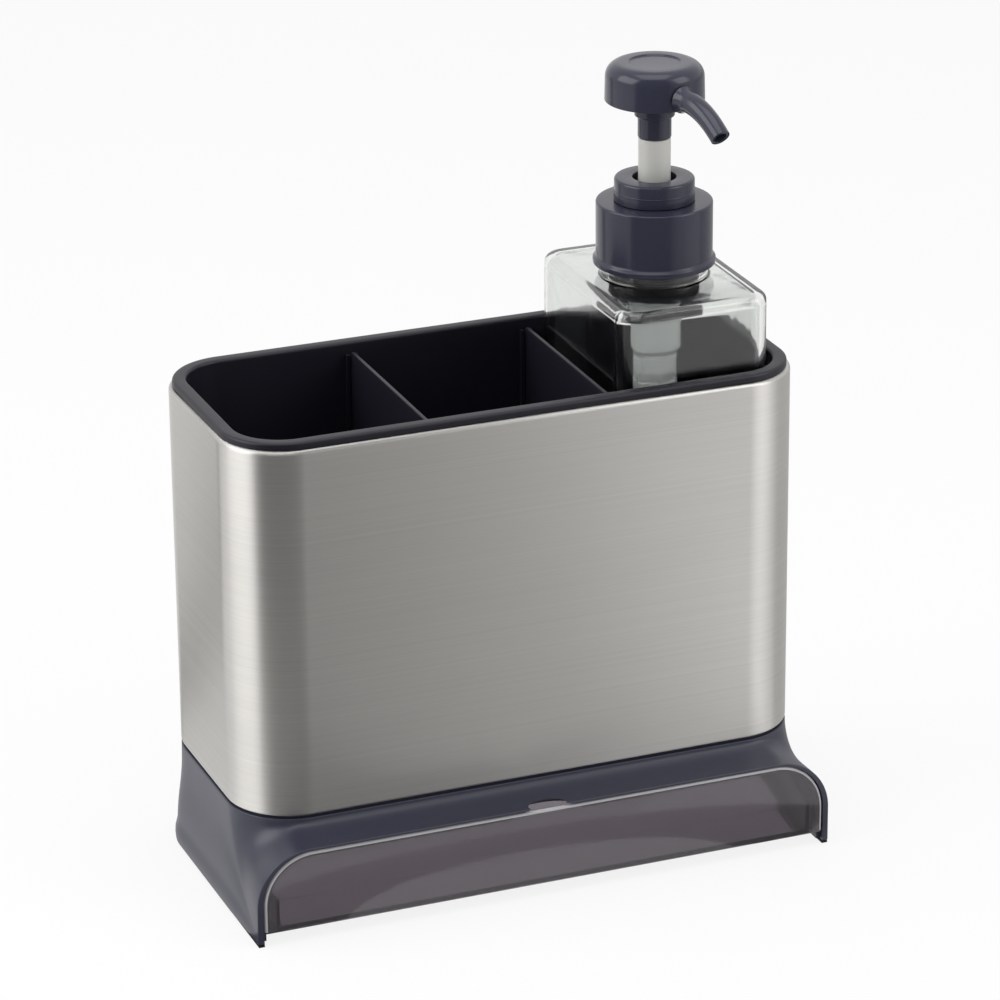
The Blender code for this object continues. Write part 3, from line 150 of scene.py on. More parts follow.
# Drip tray
PANEL_THICKNESS = 0.0019
PANEL_ROUND = 0.0009
# Faces that do not look straight ahead get the panel's painted edge highlight
HIGHLIGHT_EDGE_FACING = -0.97
TRAY_RISE = 0.0004
TRAY_SIDE_INSET = 0.0045
TRAY_WALL = 0.0012
TRAY_FLOOR = 0.0014
TRAY_HEIGHT = 0.0112
TRAY_BACK_GAP = 0.0025

# Sleeve and liner
SLEEVE_TOP_ROUND = 0.0014
SLEEVE_FLANGE = 0.0036
RIM_INSET = 0.0012
RIM_ROUND = 0.0011
LINER_GAP = 0.0006
LINER_DRAFT = 0.0003
LINER_FLOOR = 0.0020
LINER_FOOT_ROUND = 0.0020
LINER_OUTSIDE = SLEEVE_FLANGE + LINER_GAP
LINER_FLOOR_TOP = LINER_LOW.z + LINER_FLOOR
RIB_WIDTH = 0.0012
RIB_PROUD = 0.0020
RIB_CLEARANCE = 0.0003
HOLE_RADIUS = 0.0025
HOLE_PITCH_X = 0.0150
HOLE_PITCH_Y = 0.0170
HOLES_ACROSS = 3
HOLES_DEEP = 4
PLATE_ROUND = 0.0020
PLATE_EDGE = 0.0003

# Bottle
BOTTLE_CORNER = 0.0081
BOTTLE_FLOOR = 0.0030
NECK_RADIUS = 0.0179
NECK_WALL = 0.0025
NECK_FILLET = 0.0012
NECK_HEIGHT = 0.0201
NECK_LIP = 0.0006
FOOT_RECESS_INSET = 0.0060
FOOT_RECESS = 0.0007

# Pump
CLOSURE_CLEARANCE = 0.0004
CLOSURE_WALL = 0.0012
CLOSURE_TOP = 0.0019
CLOSURE_BEAD = 0.0010
CLOSURE_BEAD_HEIGHT = 0.0016
COLLAR_RADIUS = 0.0134
COLLAR_FOOT_RADIUS = 0.0135
COLLAR_FOOT_HEIGHT = 0.0034
COLLAR_HOLE = 0.0073
COLLAR_HOLE_DEPTH = 0.0045
COLLAR_HUB = 0.0104
HOUSING_RADIUS = 0.0087
HOUSING_WALL = 0.0011
HOUSING_FLANGE = 0.0016
HOUSING_UPPER = 0.0472
CHAMBER_RADIUS = 0.0073
CHAMBER_STEP = 0.0020
CHAMBER_GROOVE_DROP = 0.0009
CHAMBER_GROOVE = 0.0004
CHAMBER_LENGTH = 0.0300
CHAMBER_TOP = HOUSING_HIGH.z - HOUSING_FLANGE - HOUSING_UPPER - CHAMBER_STEP
POCKETS = 6
POCKET_SPAN = radians(51)
POCKET_TURN = radians(-127)
POCKET_DROP = 0.0062
POCKET_HEIGHT = 0.0035
POCKET_DEPTH = 0.0005
SOCKET_TAPER = 0.0050
SOCKET_RADIUS = 0.0042
VALVE_HOLE = 0.0014
VALVE_LAND = 0.0010
VALVE_CONE_RADIUS = 0.0032
VALVE_CONE_HEIGHT = 0.0025
GASKET_THICKNESS = 0.0010
# The dark plug down the inside of the neck is painted shade: a dark piece where the neck only looks
# dark
GASKET_SHADE_PLUG_CLEARANCE = 0.0003
GASKET_SHADE_PLUG_WALL = 0.0013
STEM_RADIUS = 0.0054
STEM_BORE = 0.0032
STEM_SPIGOT = 0.0044
STEM_CLEARANCE = 0.0004
SPRING_WIRE = 0.0009
SPRING_TURNS = 6
SPRING_POINTS = 24
DIP_RADIUS = 0.0025
DIP_WALL = 0.0007
DIP_CLEARANCE = 0.0004

# Head and spout
HEAD_RADIUS = 0.0163
HEAD_FLARE = 0.0003
HEAD_HEIGHT = 0.0129
HEAD_WALL = 0.0016
HEAD_TOP_WALL = 0.0030
RECESS_RADIUS = 0.0088
RECESS_DEPTH = 0.0005
BOSS_RADIUS = 0.0072
BOSS_FLANGE_RADIUS = 0.0067
BOSS_FLANGE_LENGTH = 0.0054
HEAD_SOCKET_RADIUS = 0.0056
HEAD_BORE = 0.0022
SPOUT_TIP_RADIUS = 0.0033
SPOUT_WALL = 0.0011
SPOUT_CLEARANCE = 0.0003
SPOUT_AZIMUTH = radians(-79.5)
SPOUT_HEIGHT = 0.0040
SPOUT_START = 0.0046
SPOUT_REACH = 0.0378
SPOUT_DROP = 0.0073
SPOUT_COLLAR = 0.0009
SPOUT_COLLAR_LENGTH = 0.0022
SPOUT_FAIRING = 0.0040
SPOUT_STEPS = 32
SPOUT_SIDE = Vector((-sin(SPOUT_AZIMUTH), cos(SPOUT_AZIMUTH), 0))

# Roundings of the turned pieces
HAIR, FINE, SLIGHT, SOFT = 0.0001, 0.0002, 0.0003, 0.0004
CLOSURE_TOP_ROUND = 0.0007
CLOSURE_BEAD_ROUND = 0.0009
COLLAR_TOP_ROUND = 0.0010
HOUSING_STEP_ROUND = 0.0006
CHAMBER_FOOT_ROUND = 0.0010
HEAD_CEILING_ROUND = 0.0020
BOSS_ROOT_ROUND = 0.0008

# Moulded finishes. Each has its colour's name, the strength of its mottling, the scale of its
# grain, its roughness and the unevenness of that, the height of its relief, its specular level and
# the other plain values of its shader
FINISHES = {
    "Dark Plastic": ("dark_plastic", 0.12, 2600.0, 0.36, 0.08, 0.000012, 0.42, {}),
    "Glossy Dark Plastic": ("dark_plastic", 0.10, 1500.0, 0.19, 0.06, 0.000006, 0.36, {}),
    "Black Plastic": ("black_plastic", 0.15, 2400.0, 0.42, 0.10, 0.000014, 0.35, {}),
    "White Plastic": ("white_plastic", 0.05, 1200.0, 0.30, 0.06, 0.000004, 0.5,
                      {"Subsurface Weight": 0.15, "Subsurface Scale": 0.002}),
    "Milky Plastic": ("milky_plastic", 0.06, 1100.0, 0.33, 0.08, 0.000004, 0.5,
                      {"Transmission Weight": 0.15, "IOR": 1.45}),
    "Black Rubber": ("rubber", 0.20, 3000.0, 0.75, 0.12, 0.00002, 0.3, {}),
    "Smoky Plastic": ("smoky_plastic", 0.08, 900.0, 0.12, 0.06, 0.000001, 0.75,
                      {"Transmission Weight": 0.88, "IOR": 1.49}),
    # A lighter, less see-through copy of the smoky plastic: a painted highlight for the bright line
    # along the panel's rounded edge
    "Smoky Plastic Painted Highlight": ("smoky_edge_highlight", 0.08, 900.0, 0.16, 0.06, 0.000004, 0.75,
                           {"Transmission Weight": 0.25, "IOR": 1.49}),
    "Bright Wire": ("wire", 0.05, 1500.0, 0.22, 0.05, 0.000003, 0.5, {"Metallic": 1.0}),
    "Clear Plastic": ("clear_plastic", 0.02, 420.0, 0.07, 0.06, 0.00012, 0.5,
                      {"Transmission Weight": 1.0, "IOR": 1.55}),
}
MOTTLE_SCALE, MOTTLE_DETAIL = 34.0, 3.0
GRAIN_DETAIL = 2.0
RIPPLE_SCALE, RIPPLE_DETAIL = 110.0, 1.0

# Brushed steel: how far each kind of mark is drawn out, and what the marks do to its look, each as
# the range of the marks and the range that it becomes
STEEL_MARKS = {"fine": (4.0, 4.0, 5200.0), "broad": (1.5, 1.5, 900.0), "slow": (14.0, 14.0, 40.0)}
STEEL_DETAIL = 3.0
STEEL_FINE_SHARE = 0.7
STEEL_TONE = (0.55, 1.15, 0.93, 1.05)
STEEL_CLOUD = (0.3, 0.7, 0.985, 1.015)
STEEL_GLOSS = (0.2, 0.8, 0.42, 0.49)
STEEL_RELIEF = 0.000004
STEEL_PLAIN = {"Metallic": 1.0, "Anisotropic": 0.95, "Anisotropic Rotation": 0.25}

# Camera, as found from the photograph's edges
CAMERA_PLACE = (-0.52694, -1.35107, 0.70128)
CAMERA_AZIMUTH = radians(-21.471)
CAMERA_ELEVATION = radians(21.779)
CAMERA_ROLL = radians(-0.538)
CAMERA_LENS = 168.57
CAMERA_SENSOR = 36.0

# Stage
FLOOR_REACH = 8.0
FLOOR_GAP = 0.0002
FLOOR_ROUGHNESS = 0.9
FLOOR_GLOW_SHARE = 0.85
AMBIENT = 0.55
LAMP_TARGET = (0.0, 0.0, 0.12)
# Each lamp has a name, an azimuth and elevation in degrees, a distance, a size and a power
LAMPS = (
    ("left_softbox", -98.0, 35.0, 1.5, (1.2, 1.0), 11.0),
    ("right_softbox", 50.0, 35.0, 1.5, (0.8, 0.9), 5.5),
    ("top_softbox", -20.0, 85.0, 1.4, (1.0, 1.0), 6.0),
)
# The side views of the cards: reaches from the middle with their heights
FOOT_CARD = ((0.092, 0.0), (0.14, 0.0))
NEAR_CARD = ((0.14, 0.0), (0.26, 0.0))
TALL_CARD = ((0.26, 0.0), (1.9, 0.0), (1.9, 1.8), (1.0, 2.6))
LOW_CARD = ((0.02, 0.0), (1.9, 0.0), (1.9, 0.4))
# Each card has a name, the azimuths of its two ends in degrees, a side view and a grey level
CARDS = (
    ("foot_card", -68.0, 60.0, FOOT_CARD, 0.10),
    ("near_card", -68.0, 26.0, NEAR_CARD, 0.74),
    ("front_card", -68.0, 14.0, TALL_CARD, 0.09),
    ("middle_card", 14.0, 24.0, TALL_CARD, 0.43),
    ("side_card", 24.0, 42.0, TALL_CARD, 0.72),
    ("left_card", -147.0, -137.0, LOW_CARD, 0.26),
    ("right_card", 76.0, 150.0, LOW_CARD, 0.56),
)
CARD_STEPS = 24


class OrganizerSizes(bpy.types.PropertyGroup):
    """Sizes that change the look of the pieces within the frame."""

    corner_radius: bpy.props.FloatProperty(
        name="Corner Radius", description="Radius of the sleeve's upright corners",
        default=0.0223, min=0.01, max=0.04, precision=5, unit="LENGTH")
    sheet: bpy.props.FloatProperty(
        name="Sheet", description="Thickness of the sleeve's steel sheet",
        default=0.0008, min=0.0004, max=0.002, precision=5, unit="LENGTH")
    arch_radius: bpy.props.FloatProperty(
        name="Arch Radius", description="Radius of the upper corners of the base's front",
        default=0.0190, min=0.008, max=0.028, precision=5, unit="LENGTH")
    rim_width: bpy.props.FloatProperty(
        name="Rim Width", description="Width of the liner's rim",
        default=0.0048, min=0.003, max=0.008, precision=5, unit="LENGTH")
    bottle_edge: bpy.props.FloatProperty(
        name="Bottle Edge", description="Rounding of the bottle's shoulder and foot",
        default=0.0030, min=0.001, max=0.006, precision=5, unit="LENGTH")
    bottle_wall: bpy.props.FloatProperty(
        name="Bottle Wall", description="Wall thickness of the bottle",
        default=0.0022, min=0.001, max=0.004, precision=5, unit="LENGTH")
    head_round: bpy.props.FloatProperty(
        name="Head Rounding", description="Rounding of the pump head's upper edge",
        default=0.0048, min=0.002, max=0.007, precision=5, unit="LENGTH")
    spout_radius: bpy.props.FloatProperty(
        name="Spout Radius", description="Outer radius of the spout",
        default=0.0039, min=0.003, max=0.0045, precision=5, unit="LENGTH")


class OrganizerColours(bpy.types.PropertyGroup):
    """Colours of the finishes and of the stage."""

    steel: bpy.props.FloatVectorProperty(
        name="Steel", description="Colour of the brushed sleeve",
        default=(0.62, 0.605, 0.58), min=0, max=1, subtype="COLOR")
    dark_plastic: bpy.props.FloatVectorProperty(
        name="Dark Plastic", description="Colour of the base, closure and pump head",
        default=(0.032, 0.033, 0.054), min=0, max=1, subtype="COLOR")
    black_plastic: bpy.props.FloatVectorProperty(
        name="Black Plastic", description="Colour of the liner and its plates",
        default=(0.010, 0.009, 0.016), min=0, max=1, subtype="COLOR")
    smoky_plastic: bpy.props.FloatVectorProperty(
        name="Smoky Plastic", description="Colour of the see-through drip tray",
        default=(0.34, 0.31, 0.34), min=0, max=1, subtype="COLOR")
    # A lighter smoky colour, painted as the highlight on the panel's rounded edge
    smoky_edge_highlight: bpy.props.FloatVectorProperty(
        name="Smoky Edge Highlight", description="Painted highlight colour of the panel's rounded edge",
        default=(0.52, 0.51, 0.53), min=0, max=1, subtype="COLOR")
    clear_plastic: bpy.props.FloatVectorProperty(
        name="Clear Plastic", description="Tint of the bottle",
        default=(0.86, 0.875, 0.86), min=0, max=1, subtype="COLOR")
    milky_plastic: bpy.props.FloatVectorProperty(
        name="Milky Plastic", description="Colour of the pump's housing and dip tube",
        default=(0.94, 0.97, 0.96), min=0, max=1, subtype="COLOR")
    white_plastic: bpy.props.FloatVectorProperty(
        name="White Plastic", description="Colour of the stem",
        default=(0.55, 0.55, 0.52), min=0, max=1, subtype="COLOR")
    rubber: bpy.props.FloatVectorProperty(
        name="Rubber", description="Colour of the anti-slip strip and the seal",
        default=(0.012, 0.012, 0.014), min=0, max=1, subtype="COLOR")
    wire: bpy.props.FloatVectorProperty(
        name="Wire", description="Colour of the spring and the check ball",
        default=(0.60, 0.60, 0.60), min=0, max=1, subtype="COLOR")
    floor: bpy.props.FloatVectorProperty(
        name="Floor", description="Colour of the studio floor",
        default=(0.85, 0.85, 0.85), min=0, max=1, subtype="COLOR")


# Outlines and meshes


def arc(centre, radius, start, turn, steps=ROUND_STEPS):
    """Points along an arc, both ends included."""
    points = []
    for step in range(steps + 1):
        angle = start + turn * step / steps
        points.append((centre[0] + radius * cos(angle), centre[1] + radius * sin(angle)))
    return points


def rounded_rectangle(width, depth, radius):
    """A rectangle with round corners about the origin; a circle where it is all corner."""
    points = []
    for turn, (side_x, side_y) in enumerate(((1, 1), (-1, 1), (-1, -1), (1, -1))):
        centre = (side_x * (width / 2 - radius), side_y * (depth / 2 - radius))
        points += arc(centre, radius, turn * QUARTER, QUARTER, CORNER_STEPS)
    return points


def round_backed(half, front, back, radius):
    """An outline that is square in front and has round corners at the back."""
    points = [(-half, front), (half, front)]
    points += arc((half - radius, back - radius), radius, 0, QUARTER, CORNER_STEPS)
    points += arc((radius - half, back - radius), radius, QUARTER, QUARTER, CORNER_STEPS)
    return points


def arch(half, top, radius, bottom):
    """An arch outline from its left foot over its top to its right foot, as (x, z)."""
    points = [(-half, bottom)]
    points += arc((radius - half, top - radius), radius, pi, -QUARTER, CORNER_STEPS)
    points += arc((half - radius, top - radius), radius, QUARTER, -QUARTER, CORNER_STEPS)
    return points + [(half, bottom)]


def softened(corners, steps):
    """A closed profile from (radius, height, rounding) corners, each rounded by its own radius."""
    points = []
    for index, (x, z, rounding) in enumerate(corners):
        here = Vector((x, z))
        if not rounding:
            points.append((x, z))
            continue
        before = (Vector(corners[index - 1][:2]) - here).normalized()
        after = (Vector(corners[(index + 1) % len(corners)][:2]) - here).normalized()
        half = before.angle(after) / 2
        centre = here + (before + after).normalized() * rounding / sin(half)
        start = here + before * rounding / tan(half) - centre
        end = here + after * rounding / tan(half) - centre
        first = atan2(start.y, start.x)
        turn = (atan2(end.y, end.x) - first + pi) % (2 * pi) - pi
        points += arc(centre, rounding, first, turn, steps)
    return points


def outward(angle):
    """The level direction at an angle from the right."""
    return Vector((cos(angle), sin(angle), 0))


def loop(centre, reach, side, up, steps=TUBE_STEPS):
    """A ring of points about a centre, in the plane of two directions."""
    angles = [2 * pi * step / steps for step in range(steps)]
    return [centre + reach * (cos(angle) * side + sin(angle) * up) for angle in angles]


def finish_mesh(mesh):
    """Weld a mesh, turn its faces out and shade it smooth between its sharp edges."""
    work = bmesh.new()
    work.from_mesh(mesh)
    bmesh.ops.remove_doubles(work, verts=work.verts, dist=WELD)
    bmesh.ops.recalc_face_normals(work, faces=work.faces)
    work.to_mesh(mesh)
    work.free()
    mesh.shade_smooth()
    mesh.set_sharp_from_angle(angle=SHARP_ANGLE)


def placed(name, data):
    """An object in the scene for a mesh, a lamp or a camera."""
    made = bpy.data.objects.new(name, data)
    bpy.context.scene.collection.objects.link(made)
    return made


def new_piece(name, verts, faces):
    """An object in the scene from points and faces."""
    mesh = bpy.data.meshes.new(name)
    mesh.from_pydata(verts, [], faces)
    finish_mesh(mesh)
    return placed(name, mesh)


def ring_faces(rings, closed):
    """The faces between rings of as many points each."""
    count, faces = len(rings[0]), []
    for level in range(len(rings) if closed else len(rings) - 1):
        low, high = level * count, (level + 1) % len(rings) * count
        for step in range(count):
            after = (step + 1) % count
            faces.append((low + step, low + after, high + after, high + step))
    return faces


def lofted(name, rings, capped=True, shift=(0, 0, 0)):
    """A body through rings of as many points each, with flat ends or closed on itself."""
    verts = [tuple(Vector(point) + Vector(shift)) for ring in rings for point in ring]
    faces = ring_faces(rings, not capped)
    if capped:
        count = len(rings[0])
        faces += [tuple(range(count)), tuple(range(len(verts) - count, len(verts)))]
    return new_piece(name, verts, faces)


def turned(name, corners, capped=False, steps=TURN_STEPS, round_steps=ROUND_STEPS):
    """A turned piece; a capped profile starts and ends on the axis, any other closes on itself."""
    profile = softened(corners, round_steps)
    angles = [2 * pi * step / steps for step in range(steps)]
    rings = []
    for radius, height in profile:
        rings.append([(radius * cos(angle), radius * sin(angle), height) for angle in angles])
    return lofted(name, rings, capped, PUMP_PLACE)


def prism(name, outline, low, high, along="Z", shift=(0, 0, 0)):
    """A flat outline made solid between two levels along Z, or along Y for an upright one."""
    if along == "Y":
        rings = [[(x, level, z) for x, z in outline] for level in (low, high)]
    else:
        rings = [[(x, y, level) for x, y in outline] for level in (low, high)]
    return lofted(name, rings, True, shift)


def box(name, low, high):
    """A box between two corners."""
    outline = [(low[0], low[1]), (high[0], low[1]), (high[0], high[1]), (low[0], high[1])]
    return prism(name, outline, low[2], high[2])


def inset_rings(section, radius, width=SLEEVE_WIDTH, depth=SLEEVE_DEPTH):
    """Rounded outlines drawn in by the insets of a section, at its heights."""
    rings = []
    for inset, height in section:
        outline = rounded_rectangle(width - 2 * inset, depth - 2 * inset, max(radius - inset, WELD))
        rings.append([(x, y, height) for x, y in outline])
    return rings


def merged(name, pieces):
    """Several apart bodies as one object."""
    work = bmesh.new()
    for piece in pieces:
        work.from_mesh(piece.data)
        bpy.data.objects.remove(piece)
    mesh = bpy.data.meshes.new(name)
    work.to_mesh(mesh)
    work.free()
    return placed(name, mesh)


def settle(piece):
    """Make a piece's modifiers part of its mesh."""
    bpy.context.view_layer.update()
    graph = bpy.context.evaluated_depsgraph_get()
    before = piece.data
    piece.data = bpy.data.meshes.new_from_object(piece.evaluated_get(graph))
    piece.modifiers.clear()
    bpy.data.meshes.remove(before)
    finish_mesh(piece.data)


def combine(piece, other, operation="DIFFERENCE"):
    """Cut, join or intersect a piece with a helper body, which is then removed."""
    change = piece.modifiers.new("combine", "BOOLEAN")
    change.operation = operation
    change.solver = "EXACT"
    change.object = other
    settle(piece)
    bpy.data.objects.remove(other)
    if not piece.data.polygons:
        raise RuntimeError(piece.name + " lost its mesh in a " + operation.lower())


def soften_edges(piece, width):
    """Round the piece's sharp edges."""
    rounding = piece.modifiers.new("rounding", "BEVEL")
    rounding.width = width
    rounding.segments = EDGE_STEPS
    rounding.limit_method = "ANGLE"
    rounding.angle_limit = SHARP_ANGLE
    settle(piece)


def give_finish(piece, finish):
    """Make a finish the piece's only material."""
    piece.data.materials.clear()
    piece.data.materials.append(finish)


def hand_over(piece, body, node, finish):
    """Give a piece its finish, and put it on its body in place of the plain solid."""
    give_finish(piece, finish)
    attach(piece, body)
    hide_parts(node)


# Shader helpers and materials


def add_node(tree, kind, settings=None, inputs=None):
    """Add a node; an input given as a socket is linked, and any other value is stored."""
    made = tree.nodes.new(kind)
    for name, value in (settings or {}).items():
        setattr(made, name, value)
    wire_up(tree, made, inputs or {})
    return made


def wire_up(tree, node, inputs):
    """Set a node's inputs; one given as a socket is linked, and any other value is stored."""
    for name, value in inputs.items():
        if isinstance(value, bpy.types.NodeSocket):
            tree.links.new(value, node.inputs[name])
        else:
            node.inputs[name].default_value = value


def maths(tree, operation, *values):
    """The result of a sum on up to three values."""
    inputs = dict(enumerate(values))
    return add_node(tree, "ShaderNodeMath", {"operation": operation}, inputs).outputs[0]


def remapped(tree, value, low, high, to_low, to_high):
    """A value moved from one range into another."""
    inputs = {"Value": value, "From Min": low, "From Max": high, "To Min": to_low, "To Max": to_high}
    return add_node(tree, "ShaderNodeMapRange", None, inputs).outputs[0]


def shaded(tree, colour, share):
    """A colour made darker or lighter by a share."""
    inputs = {0: colour, "Scale": share}
    return add_node(tree, "ShaderNodeVectorMath", {"operation": "SCALE"}, inputs).outputs[0]


def noise(tree, place, scale, detail):
    """The height of a noise at a place."""
    inputs = {"Vector": place, "Scale": scale, "Detail": detail}
    return add_node(tree, "ShaderNodeTexNoise", None, inputs).outputs["Fac"]


def object_place(tree):
    """The place on the piece."""
    return add_node(tree, "ShaderNodeTexCoord").outputs["Object"]


def raised(tree, height, relief):
    """The normal of a surface with a relief."""
    inputs = {"Height": height, "Strength": 1.0, "Distance": relief}
    return add_node(tree, "ShaderNodeBump", None, inputs).outputs["Normal"]


def moulded_surface():
    """The shared effect of moulded plastic: fine grain, slow mottling and uneven gloss."""
    found = bpy.data.node_groups.get("Moulded Surface")
    if found:
        return found
    group = bpy.data.node_groups.new("Moulded Surface", "ShaderNodeTree")
    sockets = {
        "INPUT": ("Colour", "Mottle", "Grain Scale", "Roughness", "Unevenness"),
        "OUTPUT": ("Colour", "Roughness", "Height"),
    }
    for way, labels in sockets.items():
        for label in labels:
            kind = "NodeSocketColor" if label == "Colour" else "NodeSocketFloat"
            group.interface.new_socket(label, in_out=way, socket_type=kind)
    given = group.nodes.new("NodeGroupInput").outputs
    result = group.nodes.new("NodeGroupOutput")
    place = object_place(group)
    slow = noise(group, place, MOTTLE_SCALE, MOTTLE_DETAIL)
    fine = noise(group, place, given["Grain Scale"], GRAIN_DETAIL)
    centred = maths(group, "SUBTRACT", slow, 0.5)
    shade = maths(group, "MULTIPLY_ADD", centred, given["Mottle"], 1.0)
    gloss = maths(group, "MULTIPLY_ADD", centred, given["Unevenness"], given["Roughness"])
    colour = shaded(group, given["Colour"], shade)
    wire_up(group, result, {"Colour": colour, "Roughness": gloss, "Height": fine})
    return group


def new_material(name, specular=0.5, plain=None):
    """A material with its Principled shader, whose plain values are set on its own sockets."""
    made = bpy.data.materials.new(name)
    made.use_nodes = True
    shader = made.node_tree.nodes["Principled BSDF"]
    wire_up(made.node_tree, shader, {"Specular IOR Level": specular, **(plain or {})})
    return made, made.node_tree, shader


def moulded(name):
    """A moulded finish: the shared effect feeds its colour, gloss and relief."""
    found = bpy.data.materials.get(name)
    if found:
        return found
    colour, mottle, grain_scale, roughness, unevenness, relief, specular, plain = FINISHES[name]
    made, tree, shader = new_material(name, specular, plain)
    tint = getattr(bpy.context.scene.organizer_colours, colour)
    effect = add_node(tree, "ShaderNodeGroup", {"node_tree": moulded_surface()}, {
        "Colour": (*tint, 1),
        "Mottle": mottle,
        "Grain Scale": grain_scale,
        "Roughness": roughness,
        "Unevenness": unevenness,
    }).outputs
    height = effect["Height"]
    if name == "Clear Plastic":
        # The slow ripples of a blown wall take the place of the grain
        height = noise(tree, object_place(tree), RIPPLE_SCALE, RIPPLE_DETAIL)
    wire_up(tree, shader, {
        "Base Color": effect["Colour"],
        "Roughness": effect["Roughness"],
        "Normal": raised(tree, height, relief),
    })
    return made


def brushed_steel():
    """The sleeve's steel, brushed along its walls, with faint longer streaks."""
    made, tree, shader = new_material("Brushed Steel", plain=STEEL_PLAIN)
    place = object_place(tree)
    marks = {}
    for label, scale in STEEL_MARKS.items():
        drawn = add_node(tree, "ShaderNodeMapping", None, {"Vector": place, "Scale": scale})
        marks[label] = noise(tree, drawn.outputs[0], 1.0, STEEL_DETAIL)
    lines = maths(tree, "MULTIPLY_ADD", marks["fine"], STEEL_FINE_SHARE, marks["broad"])
    tone = remapped(tree, lines, *STEEL_TONE)
    cloud = remapped(tree, marks["slow"], *STEEL_CLOUD)
    tint = tuple(bpy.context.scene.organizer_colours.steel)
    tangent = add_node(tree, "ShaderNodeTangent", {"direction_type": "RADIAL", "axis": "Z"})
    wire_up(tree, shader, {
        "Base Color": shaded(tree, tint, maths(tree, "MULTIPLY", tone, cloud)),
        "Roughness": remapped(tree, marks["broad"], *STEEL_GLOSS),
        "Normal": raised(tree, marks["fine"], STEEL_RELIEF),
        "Tangent": tangent.outputs[0],
    })
    return made


# Base shell


def shares(steps):
    """The shares of a way at which its steps start."""
    return [step / steps for step in range(steps)]


def skirt_stations(sizes):
    """The right half of the skirt, front to back.

    Each station has a top point and its outward direction, a foot point, the direction in
    which the surface arrives there and the one into the end face, the share with which it
    arrives level, and the share of the lip that it carries.
    """
    radius, arch_radius = sizes.corner_radius, sizes.arch_radius
    corner_x, corner_y = SLEEVE_WIDTH / 2 - radius, SLEEVE_DEPTH / 2 - radius
    front, bottom = BASE_LOW.y - SLEEVE_Y, BASE_LOW.z
    arch_x, spring = BASE_HALF - arch_radius, ARCH_HEIGHT - arch_radius

    def corner(angle):
        way = outward(angle)
        return way, Vector((corner_x, -corner_y, 0)) + radius * way

    stations = []
    for share in shares(FRONT_STEPS):
        top = Vector((share * corner_x, -SLEEVE_DEPTH / 2, 0))
        foot = Vector((share * arch_x, front, ARCH_HEIGHT))
        stations.append((top, -BACK, foot, -BACK, -UP, 1.0, 0.0))
    for share in shares(CORNER_STEPS):
        way, top = corner(SHOULDER_TURN * share - QUARTER)
        around = QUARTER * (1 - share)
        out = cos(around) * RIGHT + sin(around) * UP
        foot = Vector((arch_x, front, spring)) + arch_radius * out
        stations.append((top, way, foot, -BACK, -out, 1.0, 0.0))
    for share in shares(LEG_STEPS):
        way, top = corner((SHOULDER_TURN - QUARTER) * (1 - share))
        foot = Vector((BASE_HALF, front, spring * (1 - share) + bottom * share))
        stations.append((top, way, foot, -BACK, -RIGHT, 1.0 - share * (1 - SIDE_LEVEL), 0.0))
    for share in shares(SIDE_STEPS):
        top = Vector((SLEEVE_WIDTH / 2, corner_y * (2 * share - 1), 0))
        foot = Vector((BASE_HALF, front + (corner_y - front) * share, bottom))
        level = max(SIDE_LEVEL * (1 - SIDE_PACE * share), 0)
        lip = min(SIDE_PACE * share, 1)
        stations.append((top, RIGHT, foot, -UP if share else -BACK, -RIGHT, level, lip))
    for share in shares(CORNER_STEPS):
        way = outward(QUARTER * share)
        centre = Vector((corner_x, corner_y, 0))
        foot = centre + (radius + BASE_FLARE) * way + bottom * UP
        stations.append((centre + radius * way, way, foot, -UP, -way, 0.0, 1.0))
    for share in (*shares(BACK_STEPS), 1):
        top = Vector((corner_x * (1 - share), SLEEVE_DEPTH / 2, 0))
        foot = top + BASE_FLARE * BACK + bottom * UP
        stations.append((top, BACK, foot, -UP, -BACK, 0.0, 1.0))
    return stations


def across(station):
    """A station's mirror image on the left."""
    vectors = [Vector((-value.x, value.y, value.z)) for value in station[:5]]
    return (*vectors, *station[5:])


def eased(ring, passes):
    """A closed ring's points, smoothed along it without shrinking, so that no crease is left."""
    for _ in range(passes):
        for pull in EASE_PULLS:
            sides = zip(ring[-1:] + ring[:-1], ring, ring[1:] + ring[:1])
            ring = [point + pull * ((low + high) / 2 - point) for low, point, high in sides]
    return ring


